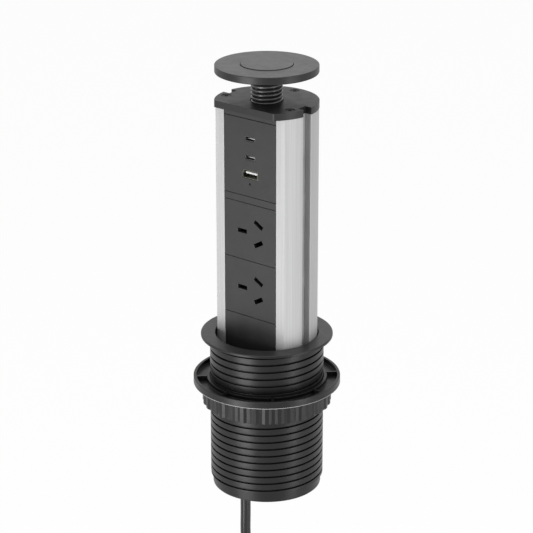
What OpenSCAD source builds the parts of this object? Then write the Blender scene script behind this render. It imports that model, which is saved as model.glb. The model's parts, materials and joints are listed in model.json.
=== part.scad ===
// Pop up desk socket: a round tower with two angled three-pin sockets and USB
// outlets, which slides up out of a threaded sleeve clamped in a desk hole.
// Millimetres. Origin: centre of the flange's underside, on the desk top.
// +Z is up, -Y is the front with the sockets.

/* [Tower profile] */
// Outer radius of the aluminium profile
profile_r = 35; // [34:0.5:36]
// Distance from the axis to the flat front of the profile
front_d = 17.7; // [16.5:0.1:19]
// Wall of the profile
profile_wall = 2; // [1.5:0.1:2.5]
// How far the profile reaches below the desk top
profile_drop = 30; // [28:1:40]
// Width of the groove in each side
groove_w = 8; // [7:0.5:9]
// Depth of the groove in each side
groove_d = 6; // [5:0.5:7]
// Thickness of the strip on the floor of each side groove
strip_t = 1; // [0.8:0.1:1.5]
// Radius of the screw ports
port_r = 4.2; // [3.9:0.1:4.4]
// Bore radius of the screw ports
port_bore_r = 2.1; // [1.8:0.1:2.4]
// Distance of the screw ports' centres from the outside of the profile
port_inset = 5.8; // [5.2:0.1:6]
// Distance of the two front screw ports behind the flat front
port_behind = 8.3; // [7.8:0.1:9]

/* [Front modules] */
// Width of the front modules
module_w = 45; // [43:0.5:46]
// Height above the desk top where the lower blank ends
blank_top = 17.7; // [14:0.1:22]
// Height of one socket module
socket_h = 40.8; // [38:0.1:45]
// Height of the strips above the sockets and above the USB module
filler_h = 5.1; // [4:0.1:8]
// Height of the USB module
usb_h = 54.1; // [50:0.1:60]
// Width by which a module's flange reaches behind the profile's lips
flange_reach = 1.7; // [1:0.1:2]
// Thickness of a module's flange
module_flange_t = 2; // [1.5:0.1:2.2]
// Gap between neighbouring modules and beside them
seam = 0.3; // [0.2:0.05:0.4]
// Depth of a socket's housing behind its flange
socket_box_d = 16; // [14:1:18]
// Gap between a module's housing and the screw ports beside it
box_gap = 1.9; // [1:0.1:3]
// Thickness of the cover behind a socket
back_t = 3; // [2:0.5:4]

/* [Socket openings] */
// Sideways place of the middle of the pin pattern
pattern_x = 3.45; // [0:0.05:5]
// Distance of the live and neutral slots from the middle of the pattern
pin_ring_r = 7.92; // [7.8:0.01:8]
// Distance of the earth slot from the middle of the pattern
earth_r = 10.31; // [10.2:0.01:10.4]
// Length of a slot
slot_l = 8; // [7:0.1:8.4]
// Width of a slot
slot_w = 2.9; // [2.3:0.1:3.2]
// Thickness of the contact strips
contact_t = 0.8; // [0.5:0.1:1]

/* [USB outlets] */
// Height of the upper small outlet above the bottom of its module
usb_c_upper = 40.4; // [38:0.1:44]
// Height of the lower small outlet above the bottom of its module
usb_c_lower = 27.4; // [25:0.1:30]
// Height of the large outlet above the bottom of its module
usb_a_up = 15.5; // [14:0.1:18]
// Height of the lamp above the bottom of its module
led_up = 8.9; // [7:0.1:10]
// Width of the small outlets' shells
usb_c_w = 9; // [8.6:0.1:9.4]
// Height of the small outlets' shells
usb_c_h = 3.3; // [3:0.1:3.6]
// Depth of the small outlets' shells
usb_c_d = 9; // [8:0.5:10]
// Width of the large outlet's shell
usb_a_w = 13.3; // [12.8:0.1:14]
// Height of the large outlet's shell
usb_a_h = 5.7; // [5.4:0.1:6]
// Depth of the large outlet's shell
usb_a_d = 13; // [12:0.5:13.5]
// Wall of the shells
shell_t = 0.4; // [0.3:0.05:0.6]
// Radius of the lamp
led_r = 0.6; // [0.5:0.1:1.2]

/* [Top cap] */
// Radius of the top cap
cap_r = 35.2; // [34.8:0.1:35.4]
// Distance from the axis to the flat front of the top cap
cap_front_d = 24; // [22:0.1:26]
// Thickness of the top cap
cap_t = 4.8; // [4:0.1:6]
// Radius of the rounded top edge of the cap
cap_round = 0.8; // [0.4:0.1:1.5]
// Depth by which the cap's two front corners are clipped
cap_corner = 0.35; // [0.1:0.05:0.8]
// Head radius of the cap screws
screw_head_r = 3.4; // [3:0.1:3.8]
// Length of the cap screws
screw_l = 14; // [12:1:18]

/* [Lid and neck] */
// Radius of the lid
lid_r = 35; // [34:0.5:35.5]
// Thickness of the lid
lid_t = 5.3; // [4.5:0.1:7]
// Free height between the cap and the lid
neck_h = 19.2; // [17:0.1:24]
// How far the lid can be pressed down
press = 3; // [2:0.5:3]
// Radius of the round pad in the lid
pad_r = 17.8; // [15:0.1:20]
// How far the pad stands above the lid
pad_rise = 0.5; // [0.3:0.1:1]
// Depth of the pad's seat in the lid
pad_seat = 2; // [1.5:0.1:2.5]
// Radius of the stem under the lid
stem_r = 5; // [4.5:0.1:5.5]
// Outer radius of the neck spring
spring_r = 10.9; // [10.4:0.1:12]
// Wire diameter of the neck spring
wire_d = 2.3; // [1.8:0.1:2.4]
// Turns of the neck spring
spring_turns = 6.5; // [5:0.5:6.5]
// Depth of the spring's seat in the cap
spring_seat = 1.5; // [1:0.1:2]

/* [Sleeve] */
// How far the flange on the desk reaches past the thread
flange_over = 6.24; // [4.5:0.01:10]
// Thickness of the flange
flange_t = 2; // [1.6:0.1:3]
// Wall of the sleeve, from its bore to the crest of the thread
sleeve_wall = 3.76; // [3.6:0.01:4.6]
// Pitch of the thread
thread_pitch = 5.22; // [4.5:0.01:6]
// Turns of the thread
thread_turns = 20; // [18:1:20]
// Depth of the thread's groove
groove_depth = 1.5; // [0.8:0.1:1.6]
// Width of the thread's groove
groove_open = 1.1; // [0.6:0.1:1.4]
// Depth below the desk top of the thread's first groove
thread_start = 2.8; // [2:0.1:4]
// Length of the plain band at the sleeve's lower end
band_l = 7.7; // [6:0.1:20]
// How far the plain band lies below the crest of the thread
band_step = 1.56; // [1.2:0.01:2]
// Length of the guide keys inside the sleeve
key_l = 10; // [8:1:10]
// Thickness of the shelf that stops the top cap
shelf_t = 3; // [2:0.5:4]

/* [Clamp] */
// Depth of the clamp plate's rim below the desk top, which is the board it grips
board_t = 29.7; // [25:0.1:35]
// How far the clamp plate reaches past the thread
plate_over = 11.64; // [9.5:0.01:15]
// Height of the clamp plate's rim
plate_h = 5; // [4:0.1:7]
// Wall of the clamp plate's rim and collar
plate_wall = 2.1; // [1.6:0.1:2.6]
// Thickness of the clamp plate's floor
plate_floor = 1.6; // [1.2:0.1:2]
// Thickness of the clamp plate's ribs
rib_t = 1.6; // [1.2:0.1:2.4]
// Number of the clamp plate's ribs
rib_n = 8; // [6:1:12]
// Wall of the clamp nut, from its bore to the tips of its teeth
nut_wall = 5.14; // [4.2:0.01:7]
// Height of the clamp nut
nut_h = 13.4; // [10:0.1:16]
// Number of grip teeth round the clamp nut
tooth_n = 32; // [24:1:36]
// Height of the grip teeth
tooth_h = 1.3; // [0.8:0.1:1.6]
// Share of the pitch that a tooth's crest takes
tooth_share = 0.3; // [0.2:0.05:0.5]
// Degrees that the nut is turned by at rest
tooth_turn = 6.4; // [0:0.1:12]

/* [Bottom cap and cord] */
// Thickness of the bottom cap
bottom_t = 3; // [2.5:0.5:4]
// Sideways place of the cord in the bottom cap
cord_x = -14; // [-15:0.5:-12]
// Place of the cord along Y in the bottom cap
cord_y = -7; // [-9:0.5:-5]
// Diameter of the cord
cord_d = 7.4; // [6.8:0.1:7.4]
// Radius of the strain relief where it leaves the bottom cap
relief_r = 6.6; // [6:0.1:7.5]
// Width of the tie round the coil
tie_w = 8; // [6:1:10]
// Thickness of the tie
tie_t = 1.2; // [0.8:0.1:2]

/* [Plug] */
// Width of the plug's body
plug_w = 34; // [32:0.5:38]
// Height of the plug's body
plug_h = 38; // [36:0.5:44]
// Thickness of the plug's body
plug_t = 18; // [16:0.5:22]
// Length of the plug's strain relief
plug_relief_l = 26; // [22:1:34]
// Length of the live and neutral pins
pin_l = 17.3; // [17:0.1:18]
// Length of the earth pin
earth_l = 20; // [19:0.1:20.5]
// Width of a pin
pin_w = 6.35; // [6.3:0.01:6.4]
// Thickness of a pin
pin_t = 1.6; // [1.5:0.05:1.7]

/* [Fits] */
// Clearance between pieces that move past each other
fit = 0.3; // [0.25:0.05:0.4]
// Clearance between pieces that are fitted together
seat = 0.1; // [0.05:0.01:0.15]

/* [Hidden] */

// Colours, as the photograph shows them
black = [0.16, 0.16, 0.16];
soft_black = [0.1, 0.1, 0.1];
grey_black = [0.24, 0.24, 0.25];
silver = [0.8, 0.8, 0.81];
steel = [0.62, 0.62, 0.64];
brass = [0.78, 0.62, 0.3];
white = [0.9, 0.9, 0.9];
board_green = [0.1, 0.3, 0.18];

eps = 0.01;
round_fn = 96;
small_fn = 48;

// Heights of the front modules, from the bottom up
profile_bottom = -profile_drop;
socket_lower_z = blank_top;
socket_upper_z = socket_lower_z + socket_h;
mid_filler_z = socket_upper_z + socket_h;
usb_z = mid_filler_z + filler_h;
top_filler_z = usb_z + usb_h;
cap_z = top_filler_z + filler_h;
cap_top = cap_z + cap_t;
lid_z = cap_top + neck_h;
lid_top = lid_z + lid_t;

// The lid comes down flush with the flange
travel = lid_top - flange_t;

// Bore that the tower and its top cap slide in
bore_r = max(profile_r, cap_r) + 2 * fit;
thread_r = bore_r + sleeve_wall;
flange_r = thread_r + flange_over;
band_r = thread_r - band_step;
thread_end = -thread_start - (thread_turns - 1) * thread_pitch - thread_pitch / 3;
sleeve_end = thread_end - band_l;

// Rubber ring near the top of the bore
ring_bore_r = bore_r - fit;
ring_top = -4;
ring_h = 4;
ring_wall = 1.5;

// Depth by which keys, shelf and ribs run into the walls that carry them
sink = 0.8;

// Guide keys: below the pressed lid, above the lugs of the bottom cap
key_clear = 3.2;
key_top = flange_t - lid_t - press - key_clear;
key_bottom = key_top - key_l;
key_w = groove_w - 2 * fit;
groove_floor_x = profile_r - groove_d;
strip_top_x = groove_floor_x + strip_t;
key_x = strip_top_x + fit;
lug_top = key_bottom - fit;

// Shelf in front of the tower, which the lowered top cap lands on
shelf_top = cap_z - travel - fit;
shelf_front = front_d + 2 * fit;

// Countersunk screws in the caps, and how far a notch cuts past the strip behind it
screw_sink = 2;
screw_recess = 0.3;
notch_over = 0.2;

// Places of the screw ports
port_ring_r = profile_r - port_inset;
port_y = front_d - port_behind;
port_x = sqrt(port_ring_r * port_ring_r - port_y * port_y);
ports = [[-port_x, -port_y], [port_x, -port_y], [0, port_ring_r]];

// Depths of the front modules, along +Y from the flat front
opening_w = module_w + 2 * seam;
flange_y = -front_d + profile_wall + seat;
module_flange_w = module_w + 2 * flange_reach;
box_y = flange_y + module_flange_t;
box_end = 1;
box_w = 2 * (port_x - port_r - box_gap);
pin_face = 3;
cavity_play = 0.3;

// Slots of a socket: place in the pattern and turn, for live, neutral and earth
slots = [
    [pattern_x + pin_ring_r * cos(60), pin_ring_r * sin(60), -30],
    [pattern_x + pin_ring_r * cos(60), -pin_ring_r * sin(60), 30],
    [pattern_x - earth_r, 0, 0]
];
cavity_over = [1.6, 2.9];
cavity_l = slot_l + cavity_over[0];
cavity_w = slot_w + cavity_over[1];

// USB module: its shells stand on a board in a housing behind the flange
shell_set_back = 0.3;
usb_shell_y = -front_d + shell_set_back;
usb_board_t = 1.6;
usb_board_y = usb_shell_y + usb_a_d + seat;
usb_box_low_in = 2;
usb_box_top_in = 8;
usb_box_low = usb_z + usb_box_low_in;
usb_box_top = usb_z + usb_h - usb_box_top_in;
usb_box_wall = 1.6;

// Neck: the stem runs in a boss under the top cap, and a clip holds it there
boss_wall = 2;
cap_boss_r = stem_r + fit + boss_wall;
cap_boss_l = 5;
clip_t = 1;
clip_over = 1.8;
clip_r = stem_r + clip_over;
clip_groove = 0.6;
clip_top = cap_z - cap_boss_l - seat;
stem_tip = 1;
stem_end = clip_top - clip_t - stem_tip;
spring_play = 1.2;
spring_boss_r = spring_r - wire_d - spring_play;
spring_boss_h = 1.2;
coil_r = spring_r - wire_d / 2;
spring_low = cap_top - spring_seat + wire_d / 2 + seat;
spring_high = lid_z - wire_d / 2 - seat;
spring_rings = 8;
spring_sides = 6;
spring_end = 360 * spring_turns;
spring_path = concat(
    [[coil_r, -wire_d, spring_low]],
    [for (i = [0 : spring_turns * spring_rings])
        [coil_r * cos(360 * i / spring_rings), coil_r * sin(360 * i / spring_rings),
         spring_low + (spring_high - spring_low) * i / (spring_turns * spring_rings)]],
    [[coil_r * cos(spring_end) - wire_d * sin(spring_end),
      coil_r * sin(spring_end) + wire_d * cos(spring_end), spring_high]]
);

// Clamp
plate_bore_r = thread_r + fit;
plate_r = thread_r + plate_over;
plate_top = -board_t;
plate_bottom = plate_top - plate_h;
nut_r = plate_bore_r + nut_wall;
nut_top = plate_bottom - fit;
nut_bottom = nut_top - nut_h;

// Cord: exit under the bottom cap, and the plane that the coil hangs in
bottom_z = profile_bottom - bottom_t;
cord_sides = 10;
hang_turn = 40;
// Points of the free stretch from the strain relief, across and up, in that plane
run_points = [
    [0, -58], [0, -78], [0, -98], [0, -118], [0, -138], [0, -157], [2, -167], [7, -176],
    [15, -183], [24, -191], [29, -202], [28, -214], [22, -225], [13, -232], [1, -235]
];

relief_end = run_points[0][1];
relief_l = bottom_z - relief_end;

// Coil: spirals in over the back layer and out again over the front one
coil_turns = 6.25;
coil_start_r = 52;
coil_step = 7.95;
layer_step = 8;
loop_rings = 24;
coil_sides = 6;
coil_start = run_points[len(run_points) - 1];
coil_mid = [coil_start[0] - cord_d, coil_start[1] - coil_start_r];
coil_in = coil_turns / 2;
function loop_r(t) = coil_start_r - coil_step * (t < coil_in ? t : 2 * coil_in - t);
// Share of the climb from the back layer to the front one
function climb(t) = min(1, max(0, (t - coil_in + 0.25) / 0.5));
function coil_point(t) = [
    coil_mid[0] + loop_r(t) * cos(90 + 360 * t),
    -layer_step * climb(t),
    coil_mid[1] + loop_r(t) * sin(90 + 360 * t)
];
coil_path = concat(
    [[coil_start[0], 0, coil_start[1]]],
    [for (i = [0 : coil_turns * loop_rings]) coil_point(i / loop_rings)],
    [coil_point(coil_turns) - [0, 0, cord_d]]
);
coil_end = coil_path[len(coil_path) - 1];
tail_l = 18;
tail_end = coil_end - [0, 0, tail_l];

// Tie: round the bundle, on its upper left
tie_angle = 122;
bundle_in = loop_r(coil_in) - cord_d / 2 - fit;
bundle_out = coil_start_r + cord_d / 2 + fit;
bundle_t = layer_step + cord_d + 2 * fit;
tie_round = 3;

// Plug
plug_top = tail_end - [0, 0, plug_relief_l];
plug_round = 5;

// Points and distances

function unit(v) = v / norm(v);
function total(list, i = 0) = i >= len(list) ? 0 : list[i] + total(list, i + 1);

// Direction of a path at point i
function along(path, i) =
    i == 0 ? unit(path[1] - path[0]) :
    i == len(path) - 1 ? unit(path[i] - path[i - 1]) :
    unit(unit(path[i + 1] - path[i]) + unit(path[i] - path[i - 1]));

// One ring of points square to a path, turned from the given side direction
function ring(centre, direction, side, r, sides) =
    let (a = unit(side - (side * direction) * direction), b = cross(direction, a))
    [for (k = [0 : sides - 1]) centre + r * (cos(360 * k / sides) * a + sin(360 * k / sides) * b)];

// Solid tube swept along a path, with triangles only
module tube(path, d, sides, side = [0, 1, 0]) {
    n = len(path);
    points = [for (i = [0 : n - 1]) each ring(path[i], along(path, i), side, d / 2, sides)];
    walls = [
        for (i = [0 : n - 2], k = [0 : sides - 1])
            let (a = i * sides + k, b = i * sides + (k + 1) % sides)
                each [[a, a + sides, b], [b, a + sides, b + sides]]
    ];
    ends = [
        for (k = [1 : sides - 2])
            each [[0, k, k + 1], [(n - 1) * sides, (n - 1) * sides + k + 1, (n - 1) * sides + k]]
    ];
    polyhedron(points = points, faces = concat(walls, ends));
}

// Least gap of a tube to its own other turns, from points a turn or more apart
function least_gap(path, d, apart) = min([
    for (i = [0 : len(path) - 1], j = [i + apart : 1 : len(path) - 1]) norm(path[i] - path[j])
]) - d;

// Shapes shared by the sub-parts

module d_shape(r, flat_d) {
    intersection() {
        circle(r, $fn = round_fn);
        translate([-r, -flat_d]) square([2 * r, flat_d + r]);
    }
}

module pair() {
    children();
    mirror([1, 0, 0]) children();
}

// A bar with half-round ends and its middle at the origin
module round_ended(w, h) {
    square([w - h, h], center = true);
    for (x = [-1, 1]) translate([x * (w - h) / 2, 0]) circle(h / 2, $fn = 20);
}

// A rounded rectangle with its middle at the origin
module pill(w, h, r) {
    square([w - 2 * r, h], center = true);
    square([w, h - 2 * r], center = true);
    for (x = [-1, 1], y = [-1, 1])
        translate([x * (w / 2 - r), y * (h / 2 - r)]) circle(r, $fn = 20);
}

// Draws a shape seen from the front and gives it depth towards the back
module from_front(y, depth) {
    translate([0, y + depth, 0]) rotate([90, 0, 0]) linear_extrude(depth) children();
}

module at_slots(which = [0, 1, 2]) {
    for (i = which) translate([slots[i][0], slots[i][1]]) rotate(slots[i][2]) children();
}

// Sleeve

function thread_groove(i) =
    let (z = -thread_start - i * thread_pitch, h = groove_open / 2)
    [[thread_r, z + h], [thread_r - groove_depth, z + h / 2],
     [thread_r - groove_depth, z - h / 2], [thread_r, z - h]];

module sleeve() {
    edge = 0.9;
    ease = 0.4;
    color(black) {
        difference() {
            rotate_extrude($fn = round_fn) polygon(concat(
                [[bore_r, flange_t - ease], [bore_r + ease, flange_t], [flange_r - edge, flange_t],
                 [flange_r - 0.3 * edge, flange_t - 0.3 * edge], [flange_r, flange_t - edge],
                 [flange_r, ease], [flange_r - ease, 0], [thread_r, 0]],
                [for (i = [0 : thread_turns - 1]) each thread_groove(i)],
                [[thread_r, thread_end], [band_r, thread_end - ease],
                 [band_r, sleeve_end + edge], [band_r - edge, sleeve_end], [bore_r, sleeve_end]]
            ));
            translate([0, 0, ring_top - ring_h])
                cylinder(r = bore_r + ring_wall, h = ring_h, $fn = round_fn);
        }
        pair() guide_key();
        stop_shelf();
    }
}

module guide_key() {
    translate([key_x, -key_w / 2, key_bottom])
        cube([bore_r + sink - key_x, key_w, key_l]);
}

module stop_shelf() {
    translate([0, 0, shelf_top - shelf_t]) linear_extrude(shelf_t) intersection() {
        circle(bore_r + sink, $fn = round_fn);
        translate([-bore_r, -bore_r - sink]) square([2 * bore_r, bore_r + sink - shelf_front]);
    }
}

module friction_ring() {
    color(soft_black) translate([0, 0, ring_top - ring_h + seat])
        rotate_extrude($fn = round_fn) translate([ring_bore_r, 0])
            square([bore_r + ring_wall - seat - ring_bore_r, ring_h - 2 * seat]);
}

// Clamp

module clamp_plate() {
    floor_z = plate_bottom + plate_floor;
    collar_r = plate_bore_r + plate_wall;
    edge = 0.5;
    collar_drop = 0.6;
    rib_drop = 0.3;
    color(black) {
        rotate_extrude($fn = round_fn) polygon([
            [plate_bore_r, plate_bottom], [plate_r - edge, plate_bottom],
            [plate_r, plate_bottom + edge], [plate_r, plate_top - edge],
            [plate_r - edge, plate_top], [plate_r - plate_wall, plate_top],
            [plate_r - plate_wall, floor_z], [collar_r, floor_z],
            [collar_r, plate_top - collar_drop], [plate_bore_r, plate_top - collar_drop]
        ]);
        for (i = [0 : rib_n - 1]) rotate(360 / rib_n * i)
            translate([collar_r - sink, -rib_t / 2, floor_z - eps])
                cube([plate_r - plate_wall - collar_r + 2 * sink, rib_t,
                      plate_top - rib_drop - floor_z]);
    }
}

module clamp_nut() {
    root_r = nut_r - tooth_h;
    foot_over = 0.45;
    crest = 360 / tooth_n * tooth_share / 2;
    foot = 360 / tooth_n * (tooth_share + foot_over) / 2;
    foot_r = root_r - sink;
    edge = 0.8;
    color(black) difference() {
        translate([0, 0, nut_bottom]) linear_extrude(nut_h) {
            circle(root_r, $fn = round_fn);
            for (i = [0 : tooth_n - 1]) rotate(tooth_turn + 360 / tooth_n * i) polygon([
                [foot_r, -foot_r * sin(foot)], [nut_r, -nut_r * sin(crest)],
                [nut_r, nut_r * sin(crest)], [foot_r, foot_r * sin(foot)]
            ]);
        }
        translate([0, 0, nut_bottom - eps])
            cylinder(r = plate_bore_r, h = nut_h + 2 * eps, $fn = round_fn);
        translate([0, 0, nut_bottom - eps])
            cylinder(r1 = plate_bore_r + edge, r2 = plate_bore_r, h = edge, $fn = round_fn);
    }
}

// Tower profile

module profile_section() {
    inner_r = profile_r - profile_wall;
    channel_x = groove_floor_x - profile_wall;
    difference() {
        union() {
            difference() {
                d_shape(profile_r, front_d);
                d_shape(inner_r, front_d - profile_wall);
            }
            intersection() {
                d_shape(profile_r, front_d);
                union() {
                    pair() translate([channel_x, -groove_w / 2 - profile_wall])
                        square([profile_r, groove_w + 2 * profile_wall]);
                    for (p = ports) translate(p) circle(port_r, $fn = small_fn);
                }
            }
        }
        translate([-opening_w / 2, -profile_r])
            square([opening_w, profile_r - front_d + profile_wall + eps]);
        pair() translate([groove_floor_x, -groove_w / 2]) square([profile_r, groove_w]);
        for (p = ports) translate(p) circle(port_bore_r, $fn = small_fn);
    }
}

module profile() {
    color(silver) translate([0, 0, profile_bottom])
        linear_extrude(cap_z - profile_bottom) profile_section();
}

// Strip that lines the floor of a side groove
module guide_strip(side) {
    w = groove_w - 2 * seat;
    color(grey_black) translate([0, 0, profile_bottom])
        linear_extrude(cap_z - profile_bottom)
            mirror([side < 0 ? 1 : 0, 0])
                translate([groove_floor_x + seat, -w / 2]) square([strip_t - seat, w]);
}

// Top cap

module screw_place(i) {
    translate([ports[i][0], ports[i][1], 0]) children();
}

module top_cap() {
    notch_x = strip_top_x - notch_over;
    corner_turn = acos(cap_front_d / cap_r) / 2;
    corner_d = cap_r * cos(corner_turn);
    color(black) difference() {
        union() {
            intersection() {
                rotate_extrude($fn = round_fn) polygon([
                    [0, cap_z], [cap_r, cap_z], [cap_r, cap_top - cap_round],
                    [cap_r - 0.3 * cap_round, cap_top - 0.3 * cap_round],
                    [cap_r - cap_round, cap_top], [spring_r + fit, cap_top],
                    [spring_r + fit, cap_top - spring_seat], [0, cap_top - spring_seat]
                ]);
                translate([-cap_r, -cap_front_d, cap_z])
                    cube([2 * cap_r, cap_front_d + cap_r, cap_t]);
            }
            translate([0, 0, cap_top - spring_seat - eps])
                cylinder(r = spring_boss_r, h = spring_seat + spring_boss_h + eps, $fn = small_fn);
            translate([0, 0, cap_z - cap_boss_l])
                cylinder(r = cap_boss_r, h = cap_boss_l, $fn = small_fn);
        }
        translate([0, 0, cap_z - cap_boss_l - eps])
            cylinder(r = stem_r + fit, h = cap_boss_l + cap_t + spring_boss_h + 2 * eps,
                     $fn = small_fn);
        pair() translate([notch_x, -groove_w / 2, cap_z - eps])
            cube([cap_r, groove_w, cap_t + 2 * eps]);
        pair() rotate(corner_turn)
            translate([-cap_r, cap_corner - corner_d - cap_r, cap_z - eps])
                cube([2 * cap_r, cap_r, cap_t + 2 * eps]);
        for (i = [0 : 2]) screw_place(i) {
            translate([0, 0, cap_z - eps])
                cylinder(r = port_bore_r + seat, h = cap_t + 2 * eps, $fn = small_fn);
            translate([0, 0, cap_top - screw_sink - eps])
                cylinder(r1 = port_bore_r + seat, r2 = screw_head_r + seat,
                         h = screw_sink + 2 * eps, $fn = small_fn);
        }
    }
}
// Countersunk screw with a cross recess, head up at the given height
module countersunk(top) {
    shank_r = port_bore_r - seat;
    head = screw_sink - screw_recess;
    arm = 0.8;
    color(steel) difference() {
        union() {
            translate([0, 0, top - head])
                cylinder(r1 = shank_r, r2 = screw_head_r - screw_recess, h = head,
                         $fn = small_fn);
            translate([0, 0, top - screw_l]) cylinder(r = shank_r, h = screw_l - head + eps,
                                                      $fn = small_fn);
        }
        for (turn = [0, 90]) rotate(turn)
            translate([-screw_head_r / 2, -arm / 2, top - 1])
                cube([screw_head_r, arm, 1 + eps]);
    }
}

module cap_screw(i) {
    screw_place(i) countersunk(cap_top - screw_recess);
}

module bottom_screw(i) {
    screw_place(i) translate([0, 0, bottom_z + screw_recess]) mirror([0, 0, 1]) countersunk(0);
}

// Front modules

// Plate that fills the opening, with the flange that holds it behind the lips
module front_plate(z, h) {
    translate([-module_w / 2, -front_d, z + seam / 2])
        cube([module_w, flange_y + front_d + eps, h - seam]);
    translate([-module_flange_w / 2, flange_y, z + seam / 2])
        cube([module_flange_w, module_flange_t, h - seam]);
}

module top_filler() {
    color(grey_black) front_plate(top_filler_z, filler_h);
}

module mid_filler() {
    color(grey_black) front_plate(mid_filler_z, filler_h);
}

module lower_blank() {
    color(grey_black) front_plate(profile_bottom, blank_top - profile_bottom);
}

module socket(z) {
    mid_z = z + socket_h / 2;
    color(grey_black) difference() {
        union() {
            front_plate(z, socket_h);
            translate([-box_w / 2, box_y - eps, z + box_end])
                cube([box_w, socket_box_d + eps, socket_h - 2 * box_end]);
        }
        translate([0, 0, mid_z]) {
            from_front(-front_d - eps, front_d)
                at_slots() square([slot_l, slot_w], center = true);
            from_front(-front_d + pin_face, box_y + socket_box_d + front_d)
                at_slots() square([cavity_l, cavity_w], center = true);
        }
    }
}

module socket_back(z) {
    color(black) translate([-box_w / 2, box_y + socket_box_d, z + box_end])
        cube([box_w, back_t, socket_h - 2 * box_end]);
}

// Spring contact behind one slot: two leaves on a web
module contact(z, which) {
    length = box_y + socket_box_d - (-front_d + pin_face) - 2 * cavity_play;
    y = -front_d + pin_face + cavity_play;
    l = cavity_l - 2 * cavity_play;
    w = cavity_w - 2 * cavity_play;
    color(brass) translate([0, 0, z + socket_h / 2]) difference() {
        from_front(y, length) at_slots([which]) square([l, w], center = true);
        from_front(y - eps, length - contact_t)
            at_slots([which]) square([l + eps, w - 2 * contact_t], center = true);
    }
}

// USB module

module usb_holes(extra) {
    for (up = [usb_c_upper, usb_c_lower])
        translate([0, up]) round_ended(usb_c_w + 2 * extra, usb_c_h + 2 * extra);
    translate([0, usb_a_up]) square([usb_a_w + 2 * extra, usb_a_h + 2 * extra], center = true);
}

module usb_face() {
    color(grey_black) difference() {
        front_plate(usb_z, usb_h);
        translate([0, 0, usb_z]) from_front(-front_d - eps, front_d) {
            usb_holes(seat);
            translate([0, led_up]) circle(led_r + seat, $fn = small_fn);
        }
    }
}

module usb_back() {
    inner_d = usb_board_y + usb_board_t + seat - box_y;
    h = usb_box_top - usb_box_low;
    color(black) difference() {
        translate([-box_w / 2, box_y, usb_box_low]) cube([box_w, inner_d + usb_box_wall, h]);
        translate([-box_w / 2 + usb_box_wall, box_y - eps, usb_box_low + usb_box_wall])
            cube([box_w - 2 * usb_box_wall, inner_d + eps, h - 2 * usb_box_wall]);
    }
}

module usb_board() {
    rim = usb_box_wall + seat;
    color(board_green) translate([-box_w / 2 + rim, usb_board_y, usb_box_low + rim])
        cube([box_w - 2 * rim, usb_board_t, usb_box_top - usb_box_low - 2 * rim]);
}

module usb_c_shell(up) {
    color(steel) translate([0, 0, usb_z + up]) from_front(usb_shell_y, usb_c_d) difference() {
        round_ended(usb_c_w, usb_c_h);
        round_ended(usb_c_w - 2 * shell_t, usb_c_h - 2 * shell_t);
    }
}

module usb_c_tongue(up) {
    play = 0.75;
    w = usb_c_w - 2 * shell_t - 2 * play;
    t = 0.7;
    base = 1.5;
    set_back = 0.8;
    h = usb_c_h - 2 * shell_t - 2 * seat;
    color(soft_black) translate([0, 0, usb_z + up]) {
        from_front(usb_shell_y + set_back, usb_c_d - set_back) square([w, t], center = true);
        from_front(usb_shell_y + usb_c_d - base, base) round_ended(w + play, h);
    }
}

module usb_a_shell() {
    color(steel) translate([0, 0, usb_z + usb_a_up]) from_front(usb_shell_y, usb_a_d) difference() {
        square([usb_a_w, usb_a_h], center = true);
        square([usb_a_w - 2 * shell_t, usb_a_h - 2 * shell_t], center = true);
    }
}

module usb_a_tongue() {
    play = 0.7;
    w = usb_a_w - 2 * shell_t - 2 * play;
    t = 1.9;
    base = 2;
    set_back = 1;
    above = 0.6;
    inner_h = usb_a_h - 2 * shell_t - 2 * seat;
    color(white) translate([0, 0, usb_z + usb_a_up]) {
        translate([0, 0, inner_h / 2 - t / 2 - above])
            from_front(usb_shell_y + set_back, usb_a_d - set_back)
                square([w, t], center = true);
        from_front(usb_shell_y + usb_a_d - base, base) square([w + play, inner_h], center = true);
    }
}

module status_led() {
    set_back = 0.2;
    color(white) translate([0, 0, usb_z])
        from_front(-front_d + set_back, usb_board_y + front_d - set_back - seat)
            translate([0, led_up]) circle(led_r, $fn = small_fn);
}

// Bottom cap

module bottom_cap() {
    lug_x = strip_top_x + seat;
    lug_inset = 0.6;
    color(black) difference() {
        union() {
            translate([0, 0, bottom_z]) linear_extrude(bottom_t) d_shape(profile_r, front_d);
            pair() translate([lug_x, -groove_w / 2 + seat, bottom_z + eps])
                cube([profile_r - lug_inset - lug_x, groove_w - 2 * seat,
                      lug_top - bottom_z - eps]);
        }
        for (i = [0 : 2]) screw_place(i) {
            translate([0, 0, bottom_z - eps])
                cylinder(r = port_bore_r + seat, h = bottom_t + 2 * eps, $fn = small_fn);
            translate([0, 0, bottom_z - eps])
                cylinder(r1 = screw_head_r + seat, r2 = port_bore_r + seat,
                         h = screw_sink + eps, $fn = small_fn);
        }
    }
}

// Lid and neck

module lid_disc() {
    edge = 1.1;
    color(black) difference() {
        union() {
            rotate_extrude($fn = round_fn) polygon([
                [0, lid_z], [lid_r - edge, lid_z], [lid_r - 0.3, lid_z + 0.35],
                [lid_r, lid_z + edge], [lid_r, lid_top - edge], [lid_r - 0.3, lid_top - 0.35],
                [lid_r - edge, lid_top], [0, lid_top]
            ]);
            translate([0, 0, lid_z - spring_boss_h])
                cylinder(r = spring_boss_r, h = spring_boss_h + eps, $fn = small_fn);
        }
        translate([0, 0, lid_top - pad_seat])
            cylinder(r = pad_r + seat, h = pad_seat + eps, $fn = round_fn);
    }
}

module lid_pad() {
    edge = 0.4;
    low = lid_top - pad_seat;
    color(black) rotate_extrude($fn = round_fn) polygon([
        [0, low], [pad_r, low], [pad_r, lid_top + pad_rise - edge],
        [pad_r - edge, lid_top + pad_rise], [0, lid_top + pad_rise]
    ]);
}

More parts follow.
